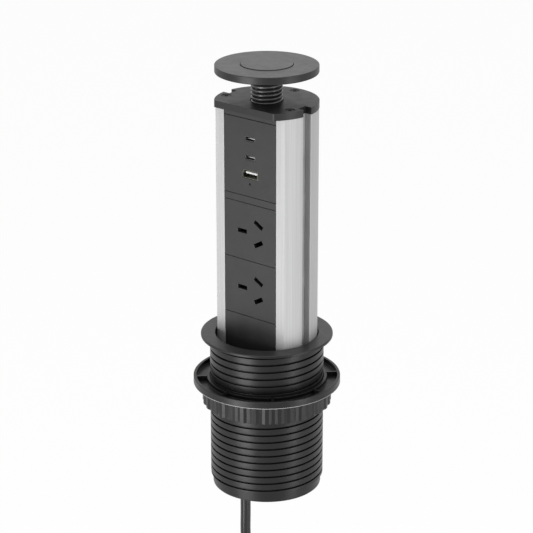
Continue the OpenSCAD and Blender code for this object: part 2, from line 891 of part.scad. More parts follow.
module lid_stem() {
    color(soft_black) rotate_extrude($fn = small_fn) polygon([
        [0, stem_end], [stem_r - 0.5, stem_end], [stem_r, stem_end + 0.5],
        [stem_r, clip_top - clip_t], [stem_r - clip_groove, clip_top - clip_t],
        [stem_r - clip_groove, clip_top], [stem_r, clip_top],
        [stem_r, lid_z - spring_boss_h], [0, lid_z - spring_boss_h]
    ]);
}

// Open retaining ring that keeps the stem in its boss
module stem_clip() {
    inner = stem_r - clip_groove + seat;
    gap_w = 5;
    color(steel) translate([0, 0, clip_top - clip_t + seat / 2])
        linear_extrude(clip_t - seat) difference() {
            circle(clip_r, $fn = small_fn);
            circle(inner, $fn = small_fn);
            translate([0, -gap_w / 2]) square([clip_r + 1, gap_w]);
        }
}

module neck_spring() {
    echo(neck_spring_least_gap = least_gap(spring_path, wire_d, spring_rings - 1));
    color(soft_black) tube(spring_path, wire_d, spring_sides, [0, 0, 1]);
}

// Cord

// Places what is drawn in the coil's plane under the cord's exit
module in_hang_plane() {
    translate([cord_x, cord_y, 0]) rotate(hang_turn) children();
}

module strain_relief() {
    collar_over = 1.5;
    collar_t = 2;
    wall = 0.8;
    ribs = 7;
    cut_d = 0.6;
    cut_w = 1.2;
    ease = 0.2;
    end_r = cord_d / 2 + wall;
    pitch = (relief_l - collar_t) / (ribs + 0.5);
    slope = (relief_r - end_r) / relief_l;
    color(soft_black) translate([cord_x, cord_y, 0]) rotate_extrude($fn = small_fn)
        polygon(concat(
            [[0, bottom_z], [relief_r + collar_over, bottom_z],
             [relief_r + collar_over, bottom_z - collar_t], [relief_r, bottom_z - collar_t]],
            [for (i = [0 : ribs - 1])
                let (z = collar_t + pitch * (i + 0.4), r = relief_r - slope * z) each
                    [[r, bottom_z - z], [r - cut_d, bottom_z - z - ease],
                     [r - cut_d, bottom_z - z - cut_w + ease],
                     [r - slope * cut_w, bottom_z - z - cut_w]]],
            [[end_r, relief_end], [0, relief_end]]
        ));
}

module cord_run() {
    path = [for (p = run_points) [p[0], 0, p[1]]];
    color(soft_black) in_hang_plane() tube(path, cord_d, cord_sides);
}

module cord_coil() {
    echo(cord_coil_least_gap = least_gap(coil_path, cord_d, loop_rings / 2));
    echo(cord_length = total([for (i = [1 : len(coil_path) - 1]) norm(coil_path[i] - coil_path[i - 1])])
        + total([for (i = [1 : len(run_points) - 1]) norm(run_points[i] - run_points[i - 1])])
        + tail_l);
    color(soft_black) in_hang_plane() tube(coil_path, cord_d, coil_sides);
}

module cord_tail() {
    color(soft_black) in_hang_plane() tube([coil_end, (coil_end + tail_end) / 2, tail_end],
                                           cord_d, cord_sides);
}

module cord_tie() {
    reach = bundle_out - bundle_in;
    color(soft_black) in_hang_plane()
        translate([coil_mid[0], 0, coil_mid[1]]) rotate([0, -tie_angle, 0])
            translate([(bundle_in + bundle_out) / 2, -layer_step / 2, -tie_w / 2])
                linear_extrude(tie_w) difference() {
                    pill(reach + 2 * tie_t, bundle_t + 2 * tie_t, tie_round + tie_t);
                    pill(reach, bundle_t, tie_round);
                }
}

// Plug

module at_plug() {
    in_hang_plane() translate(plug_top) children();
}

module plug_relief() {
    end_r = cord_d / 2 + 0.7;
    foot_r = 6.4;
    foot_l = 3;
    color(soft_black) in_hang_plane() translate(tail_end) rotate_extrude($fn = small_fn)
        polygon([[0, -plug_relief_l], [foot_r, -plug_relief_l], [foot_r, foot_l - plug_relief_l],
                 [end_r, 0], [0, 0]]);
}

module plug_body() {
    shoulder = 9;
    neck_w = 16;
    neck_round = 2;
    color(soft_black) at_plug() rotate([90, 0, 0]) translate([0, 0, -plug_t / 2])
        linear_extrude(plug_t) hull() {
            for (x = [-1, 1]) {
                translate([x * (neck_w / 2 - neck_round), -neck_round])
                    circle(neck_round, $fn = 32);
                translate([x * (plug_w / 2 - plug_round), -shoulder - plug_round])
                    circle(plug_round, $fn = 32);
                translate([x * (plug_w / 2 - plug_round), -plug_h + plug_round])
                    circle(plug_round, $fn = 32);
            }
        }
}

// Pin that stands out of the plug's flat face, at a place in the pin pattern
module pin(place, turn, length) {
    color(brass) at_plug() translate([place[0], -plug_t / 2, -plug_h / 2 + place[1]])
        rotate([90, 0, 0]) rotate(turn) linear_extrude(length)
            pill(pin_w, pin_t, pin_t / 4);
}

module pin_earth() {
    pin([0, earth_r], 90, earth_l);
}

module pin_live() {
    pin([pin_ring_r * sin(60), -pin_ring_r * cos(60)], 60, pin_l);
}

module pin_neutral() {
    pin([-pin_ring_r * sin(60), -pin_ring_r * cos(60)], -60, pin_l);
}

sleeve();
friction_ring();
clamp_plate();
clamp_nut();
profile();
guide_strip(-1);  // guide_strip_left
guide_strip(1);  // guide_strip_right
top_cap();
cap_screw(0);  // cap_screw_left
cap_screw(1);  // cap_screw_right
cap_screw(2);  // cap_screw_back
top_filler();
usb_face();
usb_back();
usb_board();
usb_c_shell(usb_c_upper);  // usb_c_shell_upper
usb_c_shell(usb_c_lower);  // usb_c_shell_lower
usb_a_shell();
usb_c_tongue(usb_c_upper);  // usb_c_tongue_upper
usb_c_tongue(usb_c_lower);  // usb_c_tongue_lower
usb_a_tongue();
status_led();
mid_filler();
socket(socket_upper_z);  // socket_upper
socket(socket_lower_z);  // socket_lower
socket_back(socket_upper_z);  // socket_back_upper
socket_back(socket_lower_z);  // socket_back_lower
contact(socket_upper_z, 0);  // contact_live_upper
contact(socket_upper_z, 1);  // contact_neutral_upper
contact(socket_upper_z, 2);  // contact_earth_upper
contact(socket_lower_z, 0);  // contact_live_lower
contact(socket_lower_z, 1);  // contact_neutral_lower
contact(socket_lower_z, 2);  // contact_earth_lower
lower_blank();
bottom_cap();
bottom_screw(0);  // bottom_screw_left
bottom_screw(1);  // bottom_screw_right
bottom_screw(2);  // bottom_screw_back
lid_disc();
lid_pad();
lid_stem();
stem_clip();
neck_spring();
strain_relief();
cord_run();
cord_coil();
cord_tail();
cord_tie();
plug_relief();
plug_body();
pin_earth();
pin_live();
pin_neutral();
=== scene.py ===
"""Pop up desk socket: the looks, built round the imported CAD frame.

Lengths in the builders below are millimetres; MM turns them into metres.
"""

import json
from math import acos, asin, atan2, cos, degrees, pi, radians, sin, sqrt, tan

import bmesh
import bpy
from mathutils import Matrix, Vector


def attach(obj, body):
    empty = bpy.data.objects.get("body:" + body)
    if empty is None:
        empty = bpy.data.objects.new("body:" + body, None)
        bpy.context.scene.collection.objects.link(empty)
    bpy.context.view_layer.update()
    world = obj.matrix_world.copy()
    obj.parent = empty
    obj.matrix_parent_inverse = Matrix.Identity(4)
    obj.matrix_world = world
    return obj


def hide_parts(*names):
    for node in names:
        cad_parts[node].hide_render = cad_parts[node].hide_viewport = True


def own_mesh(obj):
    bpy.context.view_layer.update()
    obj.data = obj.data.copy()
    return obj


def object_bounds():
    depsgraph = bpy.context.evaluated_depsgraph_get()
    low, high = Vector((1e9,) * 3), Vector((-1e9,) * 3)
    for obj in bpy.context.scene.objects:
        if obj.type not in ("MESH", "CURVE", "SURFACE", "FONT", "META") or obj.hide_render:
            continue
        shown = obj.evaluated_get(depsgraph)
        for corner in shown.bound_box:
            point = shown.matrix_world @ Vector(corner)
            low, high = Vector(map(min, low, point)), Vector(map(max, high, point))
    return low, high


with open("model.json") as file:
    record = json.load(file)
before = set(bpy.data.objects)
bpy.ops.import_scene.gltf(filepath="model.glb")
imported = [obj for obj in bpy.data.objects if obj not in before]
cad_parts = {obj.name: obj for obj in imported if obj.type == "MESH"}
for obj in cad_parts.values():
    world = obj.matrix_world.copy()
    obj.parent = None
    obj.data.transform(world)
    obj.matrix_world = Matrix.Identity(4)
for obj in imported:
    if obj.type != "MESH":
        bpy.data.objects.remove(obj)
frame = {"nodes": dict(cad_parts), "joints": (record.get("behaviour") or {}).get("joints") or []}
nodes = frame["nodes"]
cad_box = [list(c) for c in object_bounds()]
scene = bpy.context.scene
MM = 0.001

# ---------------------------------------------------------------- camera

PHOTO, SENSOR = 533, 36  # the picture's side in pixels, the sensor's in millimetres
FOCAL_PX, SHIFT_PX = 2133.385, -0.35
CAMERA_AT, PITCH, SIDE_ON = (0.8855, -1.0505, 0.5563), radians(20.2415), (0.7646, 0.6445, 0)

cam_data = bpy.data.cameras.new("camera")
cam_data.sensor_width = SENSOR
cam_data.lens = FOCAL_PX / PHOTO * SENSOR
cam_data.shift_x = SHIFT_PX / PHOTO
cam_data.clip_start, cam_data.clip_end = 0.05, 60
camera = bpy.data.objects.new("camera", cam_data)
scene.collection.objects.link(camera)
side_on = Vector(SIDE_ON).normalized()
ahead = Vector((-side_on.y, side_on.x, 0)) * cos(PITCH) - Vector((0, 0, sin(PITCH)))
camera.location = CAMERA_AT
camera.rotation_euler = Matrix((side_on, side_on.cross(ahead), -ahead)).transposed().to_euler()
scene.camera = camera

# ---------------------------------------------------------------- mesh tools

MERGE, SLIVER = 2e-6, 1e-7  # metres
STRAIGHT, SIDE_SHARE = 0.02, 0.49  # radians off straight; the share of a side a corner may take


def finish_mesh(o, smooth=35, weighted=True):
    """Merges doubles, points the faces outward and sets soft shading with sharp edges."""
    bm = bmesh.new()
    bm.from_mesh(o.data)
    bmesh.ops.remove_doubles(bm, verts=bm.verts, dist=MERGE)
    bmesh.ops.dissolve_degenerate(bm, dist=SLIVER, edges=bm.edges)
    bmesh.ops.recalc_face_normals(bm, faces=bm.faces)
    bm.to_mesh(o.data)
    bm.free()
    o.data.shade_smooth()
    o.data.set_sharp_from_angle(angle=radians(smooth))
    if weighted:
        m = o.modifiers.new("normals", "WEIGHTED_NORMAL")
        m.keep_sharp = True
        m.weight = 80
    return o


def new_object(name, verts, faces, smooth=35, weighted=True):
    """A mesh object from points in millimetres."""
    me = bpy.data.meshes.new(name)
    me.from_pydata([(x * MM, y * MM, z * MM) for x, y, z in verts], [], faces)
    o = bpy.data.objects.new(name, me)
    scene.collection.objects.link(o)
    return finish_mesh(o, smooth, weighted)


def rounded(points, steps=4):
    """A closed outline from corners (x, y, radius), with arcs at the corners."""
    out = []
    n = len(points)
    for i, corner in enumerate(points):
        p, a, b = (Vector(q[:2]) for q in (corner, points[i - 1], points[(i + 1) % n]))
        r = corner[2] if len(corner) > 2 else 0
        u, v = (a - p).normalized(), (b - p).normalized()
        ang = u.angle(v)
        if r <= 0 or ang > pi - STRAIGHT:
            out.append((p.x, p.y))
            continue
        t = min(r / tan(ang / 2), (a - p).length * SIDE_SHARE, (b - p).length * SIDE_SHARE)
        r = t * tan(ang / 2)
        c = p + (u + v).normalized() * (r / sin(ang / 2))
        s, e = p + u * t - c, p + v * t - c
        a0 = atan2(s.y, s.x)
        d = (atan2(e.y, e.x) - a0 + pi) % (2 * pi) - pi
        out += [
            (c.x + r * cos(a0 + d * k / steps), c.y + r * sin(a0 + d * k / steps))
            for k in range(steps + 1)
        ]
    return out


def arc(r, start, end, steps, centre=(0, 0)):
    """Points of an arc between two angles in degrees, both ends included."""
    return [
        (
            centre[0] + r * cos(radians(start + (end - start) * k / steps)),
            centre[1] + r * sin(radians(start + (end - start) * k / steps)),
        )
        for k in range(steps + 1)
    ]


def circle(r, n, centre=(0, 0)):
    """A closed circle of n points."""
    return arc(r, 0, 360 - 360 / n, n - 1, centre)


def pill(w, h, r, steps=8):
    """A rectangle with round corners."""
    x, y = w / 2, h / 2
    return rounded([(x, y, r), (-x, y, r), (-x, -y, r), (x, -y, r)], steps)


def rect(w, h, r, cx=0, cy=0, spin=0):
    """A turned rectangle with lightly rounded corners about a centre."""
    c, s = cos(radians(spin)), sin(radians(spin))
    return [(cx + x * c - y * s, cy + x * s + y * c) for x, y in pill(w, h, r, 3)]


def stadium(w, h, up):
    """A slot with half-round ends, at a height on the middle line."""
    r, half = h / 2, (w - h) / 2
    return arc(r, -90, 90, 10, (half, up)) + arc(r, 90, 270, 10, (-half, up))


def lathe(name, outline, sides=192, at=(0, 0)):
    """Turns a closed outline of (radius, height) about the vertical through at."""
    m = len(outline)
    verts = [
        (at[0] + r * cos(2 * pi * i / sides), at[1] + r * sin(2 * pi * i / sides), z)
        for i in range(sides)
        for r, z in outline
    ]
    faces = []
    for i in range(sides):
        j = (i + 1) % sides
        for k in range(m):
            q = (k + 1) % m
            if outline[k][0] > 0 or outline[q][0] > 0:
                faces.append((i * m + k, j * m + k, j * m + q, i * m + q))
    return new_object(name, verts, faces)


def bevel(o, picks, width, steps):
    """Rounds the edges for which picks(edge) is true."""
    bm = bmesh.new()
    bm.from_mesh(o.data)
    edges = [e for e in bm.edges if picks(e)]
    bmesh.ops.bevel(
        bm, geom=edges, offset=width * MM, segments=steps, profile=0.5,
        affect="EDGES", clamp_overlap=True,
    )
    bm.to_mesh(o.data)
    bm.free()


def prism(name, outline, z0, z1, top, bottom, steps=3):
    """Extrudes a closed outline upward, with rounded edges at the top and bottom."""
    n = len(outline)
    verts = [(x, y, z0) for x, y in outline] + [(x, y, z1) for x, y in outline]
    faces = [tuple(reversed(range(n))), tuple(range(n, 2 * n))]
    faces += [(i, (i + 1) % n, n + (i + 1) % n, n + i) for i in range(n)]
    o = new_object(name, verts, faces)
    for level, width in ((z1, top), (z0, bottom)):
        if width > 0:
            bevel(
                o, lambda e: all(abs(v.co.z - level * MM) < SLIVER for v in e.verts), width, steps
            )
    o.modifiers.clear()
    return finish_mesh(o)


def plate(name, loops, z0, z1, edge, steps=2):
    """A plate with holes: the first loop is its outline, the others are holes."""
    cu = bpy.data.curves.new(name + "-curve", "CURVE")
    cu.dimensions, cu.fill_mode = "2D", "BOTH"
    cu.extrude = ((z1 - z0) / 2 - edge) * MM
    cu.bevel_depth, cu.bevel_resolution, cu.offset = edge * MM, steps, -edge * MM
    for loop in loops:
        sp = cu.splines.new("POLY")
        sp.points.add(len(loop) - 1)
        for q, (x, y) in zip(sp.points, loop):
            q.co = (x * MM, y * MM, 0, 1)
        sp.use_cyclic_u = True
    tmp = bpy.data.objects.new(name + "-tmp", cu)
    scene.collection.objects.link(tmp)
    me = bpy.data.meshes.new_from_object(
        tmp.evaluated_get(bpy.context.evaluated_depsgraph_get())
    )
    bpy.data.objects.remove(tmp)
    bpy.data.curves.remove(cu)
    me.name = name
    me.transform(Matrix.Translation((0, 0, (z0 + z1) / 2 * MM)))
    o = bpy.data.objects.new(name, me)
    scene.collection.objects.link(o)
    return finish_mesh(o)


def box(name, lo, hi, edge):
    """A block with rounded edges all round."""
    (x0, y0, z0), (x1, y1, z1) = lo, hi
    verts = [(x, y, z) for z in (z0, z1) for x, y in ((x0, y0), (x1, y0), (x1, y1), (x0, y1))]
    faces = [(3, 2, 1, 0), (4, 5, 6, 7), (0, 1, 5, 4), (1, 2, 6, 5), (2, 3, 7, 6), (3, 0, 4, 7)]
    o = new_object(name, verts, faces)
    bevel(o, lambda e: True, edge, 2)
    o.modifiers.clear()
    return finish_mesh(o)


def side_blocks(name, inner, outer, half, low, high, edge):
    """The same block on the left and on the right, between two distances from the middle."""
    return [
        box(
            f"{name}{s}", (min(s * inner, s * outer), -half, low),
            (max(s * inner, s * outer), half, high), edge,
        )
        for s in (-1, 1)
    ]


def tube(name, path, r, sides=16):
    """A round tube along a list of points, with its rings kept square to the path."""
    pts = [Vector(p) for p in path]
    n = len(pts)
    dirs = [(pts[min(i + 1, n - 1)] - pts[max(i - 1, 0)]).normalized() for i in range(n)]
    u = dirs[0].orthogonal().normalized()
    verts, faces = [], []
    for i in range(n):
        if i:
            u = (u - dirs[i] * u.dot(dirs[i])).normalized()
        v = dirs[i].cross(u)
        for k in range(sides):
            a = 2 * pi * k / sides
            verts.append(tuple(pts[i] + (u * cos(a) + v * sin(a)) * r))
    for i in range(n - 1):
        for k in range(sides):
            q = (k + 1) % sides
            faces.append((i * sides + k, i * sides + q, (i + 1) * sides + q, (i + 1) * sides + k))
    faces.append(tuple(reversed(range(sides))))
    faces.append(tuple(range((n - 1) * sides, n * sides)))
    return new_object(name, verts, faces, smooth=60, weighted=False)


def place(o, matrix):
    """Moves the mesh itself, so that the object stays at the origin."""
    o.data.transform(matrix)
    return o


def shift(x, y, z):
    """A move by millimetres."""
    return Matrix.Translation((x * MM, y * MM, z * MM))


TO_FRONT = Matrix.Rotation(pi / 2, 4, "X")  # drawn upright, seen from the front


def combine(o, others, operation="UNION"):
    """Adds the others to o, or cuts them from it, and keeps one clean mesh."""
    for c in others:
        for x in (o, c):
            x.modifiers.clear()
        m = o.modifiers.new("combine", "BOOLEAN")
        m.operation, m.object, m.solver = operation, c, "EXACT"
        me = bpy.data.meshes.new_from_object(
            o.evaluated_get(bpy.context.evaluated_depsgraph_get())
        )
        old, o.data = o.data, me
        o.modifiers.clear()
        bpy.data.meshes.remove(old)
        bpy.data.objects.remove(c)
    o.data.name = o.name
    return finish_mesh(o)


def join(o, others):
    """Puts separate closed shells that ride together in one piece."""
    bm = bmesh.new()
    bm.from_mesh(o.data)
    for c in others:
        bm.from_mesh(c.data)
        bpy.data.objects.remove(c)
    bm.to_mesh(o.data)
    bm.free()
    o.modifiers.clear()
    return finish_mesh(o)


# ---------------------------------------------------------------- materials

FADE_LOW, FADE_HIGH = 0.3, 0.7  # the part of a noise that turns low into high
MOTTLE, SHEEN = 55, 180  # noise scales of a plastic's colour and roughness
PLASTIC_SPREAD, METAL_SPREAD = 0.035, 0.03  # how far the roughness varies
STEP_HEIGHT = 1e-4  # metres over which the painted top light sets in


def shader(name):
    """A new material, its node tree and its main shader."""
    mat = bpy.data.materials.new(name)
    mat.use_nodes = True
    nt = mat.node_tree
    return mat, nt, nt.nodes["Principled BSDF"]


def noise(nt, scale, detail, stretch=(1, 1, 1)):
    """A noise in the object's own space, so that it rides with the piece."""
    tc = nt.nodes.new("ShaderNodeTexCoord")
    mp = nt.nodes.new("ShaderNodeMapping")
    mp.inputs["Scale"].default_value = stretch
    nz = nt.nodes.new("ShaderNodeTexNoise")
    nz.inputs["Scale"].default_value = scale
    nz.inputs["Detail"].default_value = detail
    nt.links.new(tc.outputs["Object"], mp.inputs["Vector"])
    nt.links.new(mp.outputs["Vector"], nz.inputs["Vector"])
    return nz.outputs["Fac"]


def map_range(nt, source, from_min, from_max, to_min, to_max):
    """A node that maps a value from one range to another."""
    mr = nt.nodes.new("ShaderNodeMapRange")
    mr.inputs["From Min"].default_value, mr.inputs["From Max"].default_value = from_min, from_max
    mr.inputs["To Min"].default_value, mr.inputs["To Max"].default_value = to_min, to_max
    nt.links.new(source, mr.inputs["Value"])
    return mr.outputs["Result"]


def vary(nt, fac, low, high, socket):
    """Feeds a socket a number or a colour that varies between low and high."""
    if isinstance(low, tuple):
        ramp = nt.nodes.new("ShaderNodeValToRGB")
        for stop, at, colour in zip(
            ramp.color_ramp.elements, (FADE_LOW, FADE_HIGH), (low, high)
        ):
            stop.position, stop.color = at, (*colour, 1)
        nt.links.new(fac, ramp.inputs["Fac"])
        nt.links.new(ramp.outputs["Color"], socket)
    else:
        nt.links.new(map_range(nt, fac, FADE_LOW, FADE_HIGH, low, high), socket)


def bump(nt, bsdf, fac, distance):
    """Gives a shader a fine relief of a height in metres."""
    b = nt.nodes.new("ShaderNodeBump")
    b.inputs["Strength"].default_value = 1
    b.inputs["Distance"].default_value = distance
    nt.links.new(fac, b.inputs["Height"])
    nt.links.new(b.outputs["Normal"], bsdf.inputs["Normal"])


def grey(v):
    return (v, v, v)


def plastic(name, shade, rough, grain=2400, depth=1.2e-5, level=0.5, tint=(1, 1, 1), spread=0.12):
    """A moulded plastic: a mottled shade, a varied sheen and a fine grain."""
    mat, nt, b = shader(name)
    low = tuple(shade * (1 - spread) * t for t in tint)
    high = tuple(shade * (1 + spread) * t for t in tint)
    vary(nt, noise(nt, MOTTLE, detail=3), low, high, b.inputs["Base Color"])
    low, high = rough - PLASTIC_SPREAD, rough + PLASTIC_SPREAD
    vary(nt, noise(nt, SHEEN, detail=3), low, high, b.inputs["Roughness"])
    b.inputs["Specular IOR Level"].default_value = level
    bump(nt, b, noise(nt, grain, detail=2), depth)
    return mat


def metal(name, low, high, rough, grain=1500, depth=4e-6, stretch=(1, 1, 1), share=1.0):
    """A metal whose colour, sheen and relief follow one noise, stretched where it is brushed."""
    mat, nt, b = shader(name)
    b.inputs["Metallic"].default_value = share
    vary(nt, noise(nt, grain, 2, stretch), low, high, b.inputs["Base Color"])
    low, high = rough - METAL_SPREAD, rough + METAL_SPREAD
    vary(nt, noise(nt, grain * 0.6, 2, stretch), low, high, b.inputs["Roughness"])
    bump(nt, b, noise(nt, grain, 2, stretch), depth)
    return mat


def paint_top_light(mat, height, gain):
    """Multiplies a piece's colour above a height: painted light that makes the top faces lighter,
    where the light falls on them.
    """
    nt = mat.node_tree
    colour = nt.nodes["Principled BSDF"].inputs["Base Color"]
    plain = colour.links[0].from_socket
    axes = nt.nodes.new("ShaderNodeSeparateXYZ")
    nt.links.new(nt.nodes.new("ShaderNodeTexCoord").outputs["Object"], axes.inputs[0])
    scaled = nt.nodes.new("ShaderNodeVectorMath")
    scaled.operation = "SCALE"
    nt.links.new(plain, scaled.inputs[0])
    nt.links.new(
        map_range(nt, axes.outputs["Z"], height, height + STEP_HEIGHT, 1, gain),
        scaled.inputs["Scale"],
    )
    nt.links.new(scaled.outputs[0], colour)


PLASTICS = {
    "black_plastic": dict(shade=0.006, rough=0.43, level=0.48),
    "lid_plastic": dict(shade=0.0055, rough=0.42, level=0.40),
    "cap_plastic": dict(shade=0.015, rough=0.43, level=0.33),
    "sleeve_plastic": dict(shade=0.0055, rough=0.37, grain=1500, level=0.32),
    "nut_plastic": dict(shade=0.003, rough=0.40, grain=1500, depth=3e-6, level=0.38),
    # a pale colour that paints a highlight along the clamp plate's lower edge
    "painted_highlight_plastic": dict(shade=0.27, rough=0.45, grain=1500),
    "panel_plastic": dict(shade=0.0215, rough=0.36, grain=3200, depth=6e-6, level=0.45),
    "strip_plastic": dict(shade=0.37, rough=0.5, grain=2000),
    "white_plastic": dict(shade=0.72, rough=0.35, grain=2500, depth=5e-6, spread=0.04),
    "lamp": dict(shade=0.002, rough=0.25, grain=2500, depth=2e-6, level=0.2, spread=0.05),
    "board": dict(shade=0.05, rough=0.4, tint=(0.3, 1.2, 0.5)),
    "rubber": dict(shade=0.016, rough=0.62, grain=1200, depth=2e-5),
    "cord_jacket": dict(shade=0.008, rough=0.19, grain=900, depth=1.5e-6, level=0.42),
    "spring_steel": dict(shade=0.040, rough=0.33, grain=1500, depth=3e-6, level=1.0),
}
METALS = {
    "aluminium": dict(
        low=grey(0.413), high=grey(0.466), rough=0.58, grain=900, stretch=(1, 1, 0.012), share=0.6
    ),
    "steel": dict(low=grey(0.55), high=grey(0.66), rough=0.28),
    "dark_steel": dict(low=grey(0.006), high=grey(0.012), rough=0.45, depth=5e-6),
    "dim_steel": dict(low=grey(0.12), high=grey(0.15), rough=0.4),
    "shell_steel": dict(low=(0.16, 0.16, 0.13), high=(0.20, 0.20, 0.165), rough=0.45),
    "brass": dict(low=(0.62, 0.42, 0.14), high=(0.72, 0.5, 0.2), rough=0.3, grain=1200),
    "dark_brass": dict(
        low=(0.040, 0.028, 0.010), high=(0.060, 0.042, 0.016), rough=0.5, grain=1200
    ),
}
M = {name: plastic(name, **how) for name, how in PLASTICS.items()}
M |= {name: metal(name, **how) for name, how in METALS.items()}


def dress(o, material, body, *replaced):
    """Gives a piece its material, the body it rides on and the CAD nodes it stands for."""
    o.data.materials.clear()
    o.data.materials.append(M[material])
    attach(o, body)
    if replaced:
        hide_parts(*replaced)
    return o


# ---------------------------------------------------------------- main sizes

# Levels over the desk top
LID_TOP, LID_LOW, CAP_TOP, CAP_LOW, FLANGE_TOP = 192.9, 187.6, 168.4, 163.6, 2.0
PROFILE_LOW, BOTTOM = -30.0, -33.0
TOWER_R, FRONT, WALL = 35.0, 17.7, 2.0  # FRONT: the flat front's distance from the axis
PORT_X, PORT_Y, PORT_RING = 27.646, -9.4, 29.2
PORTS = [(-PORT_X, PORT_Y), (PORT_X, PORT_Y), (0, PORT_RING)]  # the screws' places
EARTH_OUT, PIN_OUT, PIN_TURN = 10.31, 7.92, 60  # the three pins about the middle of the socket
PER_TURN = 48  # steps in a turn of the cord's coil and of the spring

# Painted light: the flange's top face and the lid's top face get a lighter colour, standing in for
# the light that falls on top
paint_top_light(M["sleeve_plastic"], (FLANGE_TOP - 0.2) * MM, 3.2)
paint_top_light(M["lid_plastic"], (LID_TOP - 0.3) * MM, 8)

# ---------------------------------------------------------------- cord

LEAD_TURN = radians(40)
EXIT = (-14.0, -7.0)
# The free stretch, as (across, up), from the strain relief to the coil
RUN = [
    (0, -58), (0, -78), (0, -98), (0, -118), (0, -138), (0, -157), (2, -167), (7, -176),
    (15, -183), (24, -191), (29, -202), (28, -214), (22, -225), (13, -232), (1, -235),
]
TURNS, R0, STEP, LAYER, CORD_D = 6.25, 52.0, 7.95, 8.0, 7.4
MID = (RUN[-1][0] - CORD_D, RUN[-1][1] - R0)  # the coil's centre
CROSSING = 0.5  # turns in which the coil goes over to its second layer
TAIL_STEP, MIN_STEP = 9, 0.4


def in_plane(across, out, up):
    """A point of the plane that the lead hangs in, in millimetres."""
    return (
        EXIT[0] + across * cos(LEAD_TURN) - out * sin(LEAD_TURN),
        EXIT[1] + across * sin(LEAD_TURN) + out * cos(LEAD_TURN),
        up,
    )


def coil_at(t):
    """The coil's line after t turns: inward in the first layer, outward in the second."""
    r = R0 - STEP * (t if t < TURNS / 2 else TURNS - t)
    w = min(1.0, max(0.0, (t - TURNS / 2 + CROSSING / 2) / CROSSING))
    w = w * w * (3 - 2 * w)
    a = radians(90 + 360 * t)
    return (MID[0] + r * cos(a), -LAYER * w, MID[1] + r * sin(a))


def smooth_path(points, per):
    """Catmull-Rom line through points."""
    pts = [Vector(p) for p in points]
    out = []
    for i in range(len(pts) - 1):
        a, b = pts[i], pts[i + 1]
        p0 = pts[i - 1] if i else a * 2 - b
        p3 = pts[i + 2] if i + 2 < len(pts) else b * 2 - a
        for k in range(per):
            t = k / per
            out.append(
                0.5 * ((2 * a) + (b - p0) * t + (2 * p0 - 5 * a + 4 * b - p3) * t * t
                       + (3 * a - p0 - 3 * b + p3) * t ** 3)
            )
    out.append(pts[-1])
    return out


coil = [coil_at(i / PER_TURN) for i in range(int(TURNS * PER_TURN) + 1)]
tail = [Vector(coil[-1]) - Vector((0, 0, CORD_D + TAIL_STEP * k)) for k in range(3)]
tail_end = tail[-1]
route = smooth_path([(x, 0, z) for x, z in RUN], 8) + [Vector(p) for p in coil]
route += smooth_path([coil[-1], *tail], 6)[1:]
line = [Vector(in_plane(*p)) for p in route]
clean = [line[0]]
for p in line[1:]:
    if (p - clean[-1]).length > MIN_STEP:
        clean.append(p)

cord_curve = bpy.data.curves.new("lead", "CURVE")
cord_curve.dimensions = "3D"
cord_curve.bevel_depth = CORD_D / 2 * MM
cord_curve.bevel_resolution = 6
cord_curve.use_fill_caps = True
spline = cord_curve.splines.new("POLY")
spline.points.add(len(clean) - 1)
for q, p in zip(spline.points, clean):
    q.co = (p.x * MM, p.y * MM, p.z * MM, 1)
spline.use_smooth = True
lead = bpy.data.objects.new("lead", cord_curve)
scene.collection.objects.link(lead)
dress(lead, "cord_jacket", "tower", "cord_run", "cord_coil", "cord_tail")

# Strain relief under the bottom cap: a collar, then a taper with ring grooves
COLLAR_R, COLLAR_H = 8.1, 2
RELIEF_R, RELIEF_TIP, RELIEF_L = 6.6, 4.5, 25.0
RINGS, RING_STEP, RING_DEPTH = 7, 3.067, 0.6
slope = (RELIEF_R - RELIEF_TIP) / RELIEF_L
outline = [
    (0, BOTTOM), (COLLAR_R, BOTTOM), (COLLAR_R, BOTTOM - COLLAR_H, 0.5),
    (RELIEF_R, BOTTOM - COLLAR_H, 0.2),
]
for i in range(RINGS):
    z = COLLAR_H + RING_STEP * (i + 0.4)
    r = RELIEF_R - slope * z
    outline += [
        (r, BOTTOM - z, 0.15), (r - RING_DEPTH, BOTTOM - z - 0.2, 0.1),
        (r - RING_DEPTH, BOTTOM - z - 1.0, 0.1), (r - slope * 1.2, BOTTOM - z - 1.2, 0.15),
    ]
outline += [(RELIEF_TIP, BOTTOM - RELIEF_L, 0.5), (0, BOTTOM - RELIEF_L)]
relief = lathe("relief", rounded(outline, 3), sides=64, at=EXIT)
dress(relief, "rubber", "tower", "strain_relief")

# Tie round the bundle: a strap with its loose end
TIE_TURN, TIE_W, STRAP, PLAY = radians(122), 8, 1.2, 0.3
STRAP_END, STRAP_END_W = (-9, 8), 6.4
bundle_in = R0 - STEP * TURNS / 2 - CORD_D / 2 - PLAY
bundle_out = R0 + CORD_D / 2 + PLAY
reach, thick = bundle_out - bundle_in, LAYER + CORD_D + 2 * PLAY
tie = plate(
    "tie", [pill(reach + 2 * STRAP, thick + 2 * STRAP, 4.2), pill(reach, thick, 3)],
    -TIE_W / 2, TIE_W / 2, edge=0.35,
)
loose_end = box(
    "tie-tongue", (STRAP_END[0], thick / 2 + 0.9, -STRAP_END_W / 2),
    (STRAP_END[1], thick / 2 + STRAP, STRAP_END_W / 2), edge=0.1,
)
tie = combine(tie, [loose_end])
lead_plane = shift(*EXIT, 0) @ Matrix.Rotation(LEAD_TURN, 4, "Z")
place(
    tie,
    lead_plane @ shift(MID[0], 0, MID[1]) @ Matrix.Rotation(-TIE_TURN, 4, "Y")
    @ shift((bundle_in + bundle_out) / 2, -LAYER / 2, 0),
)
dress(tie, "rubber", "tower", "cord_tie")

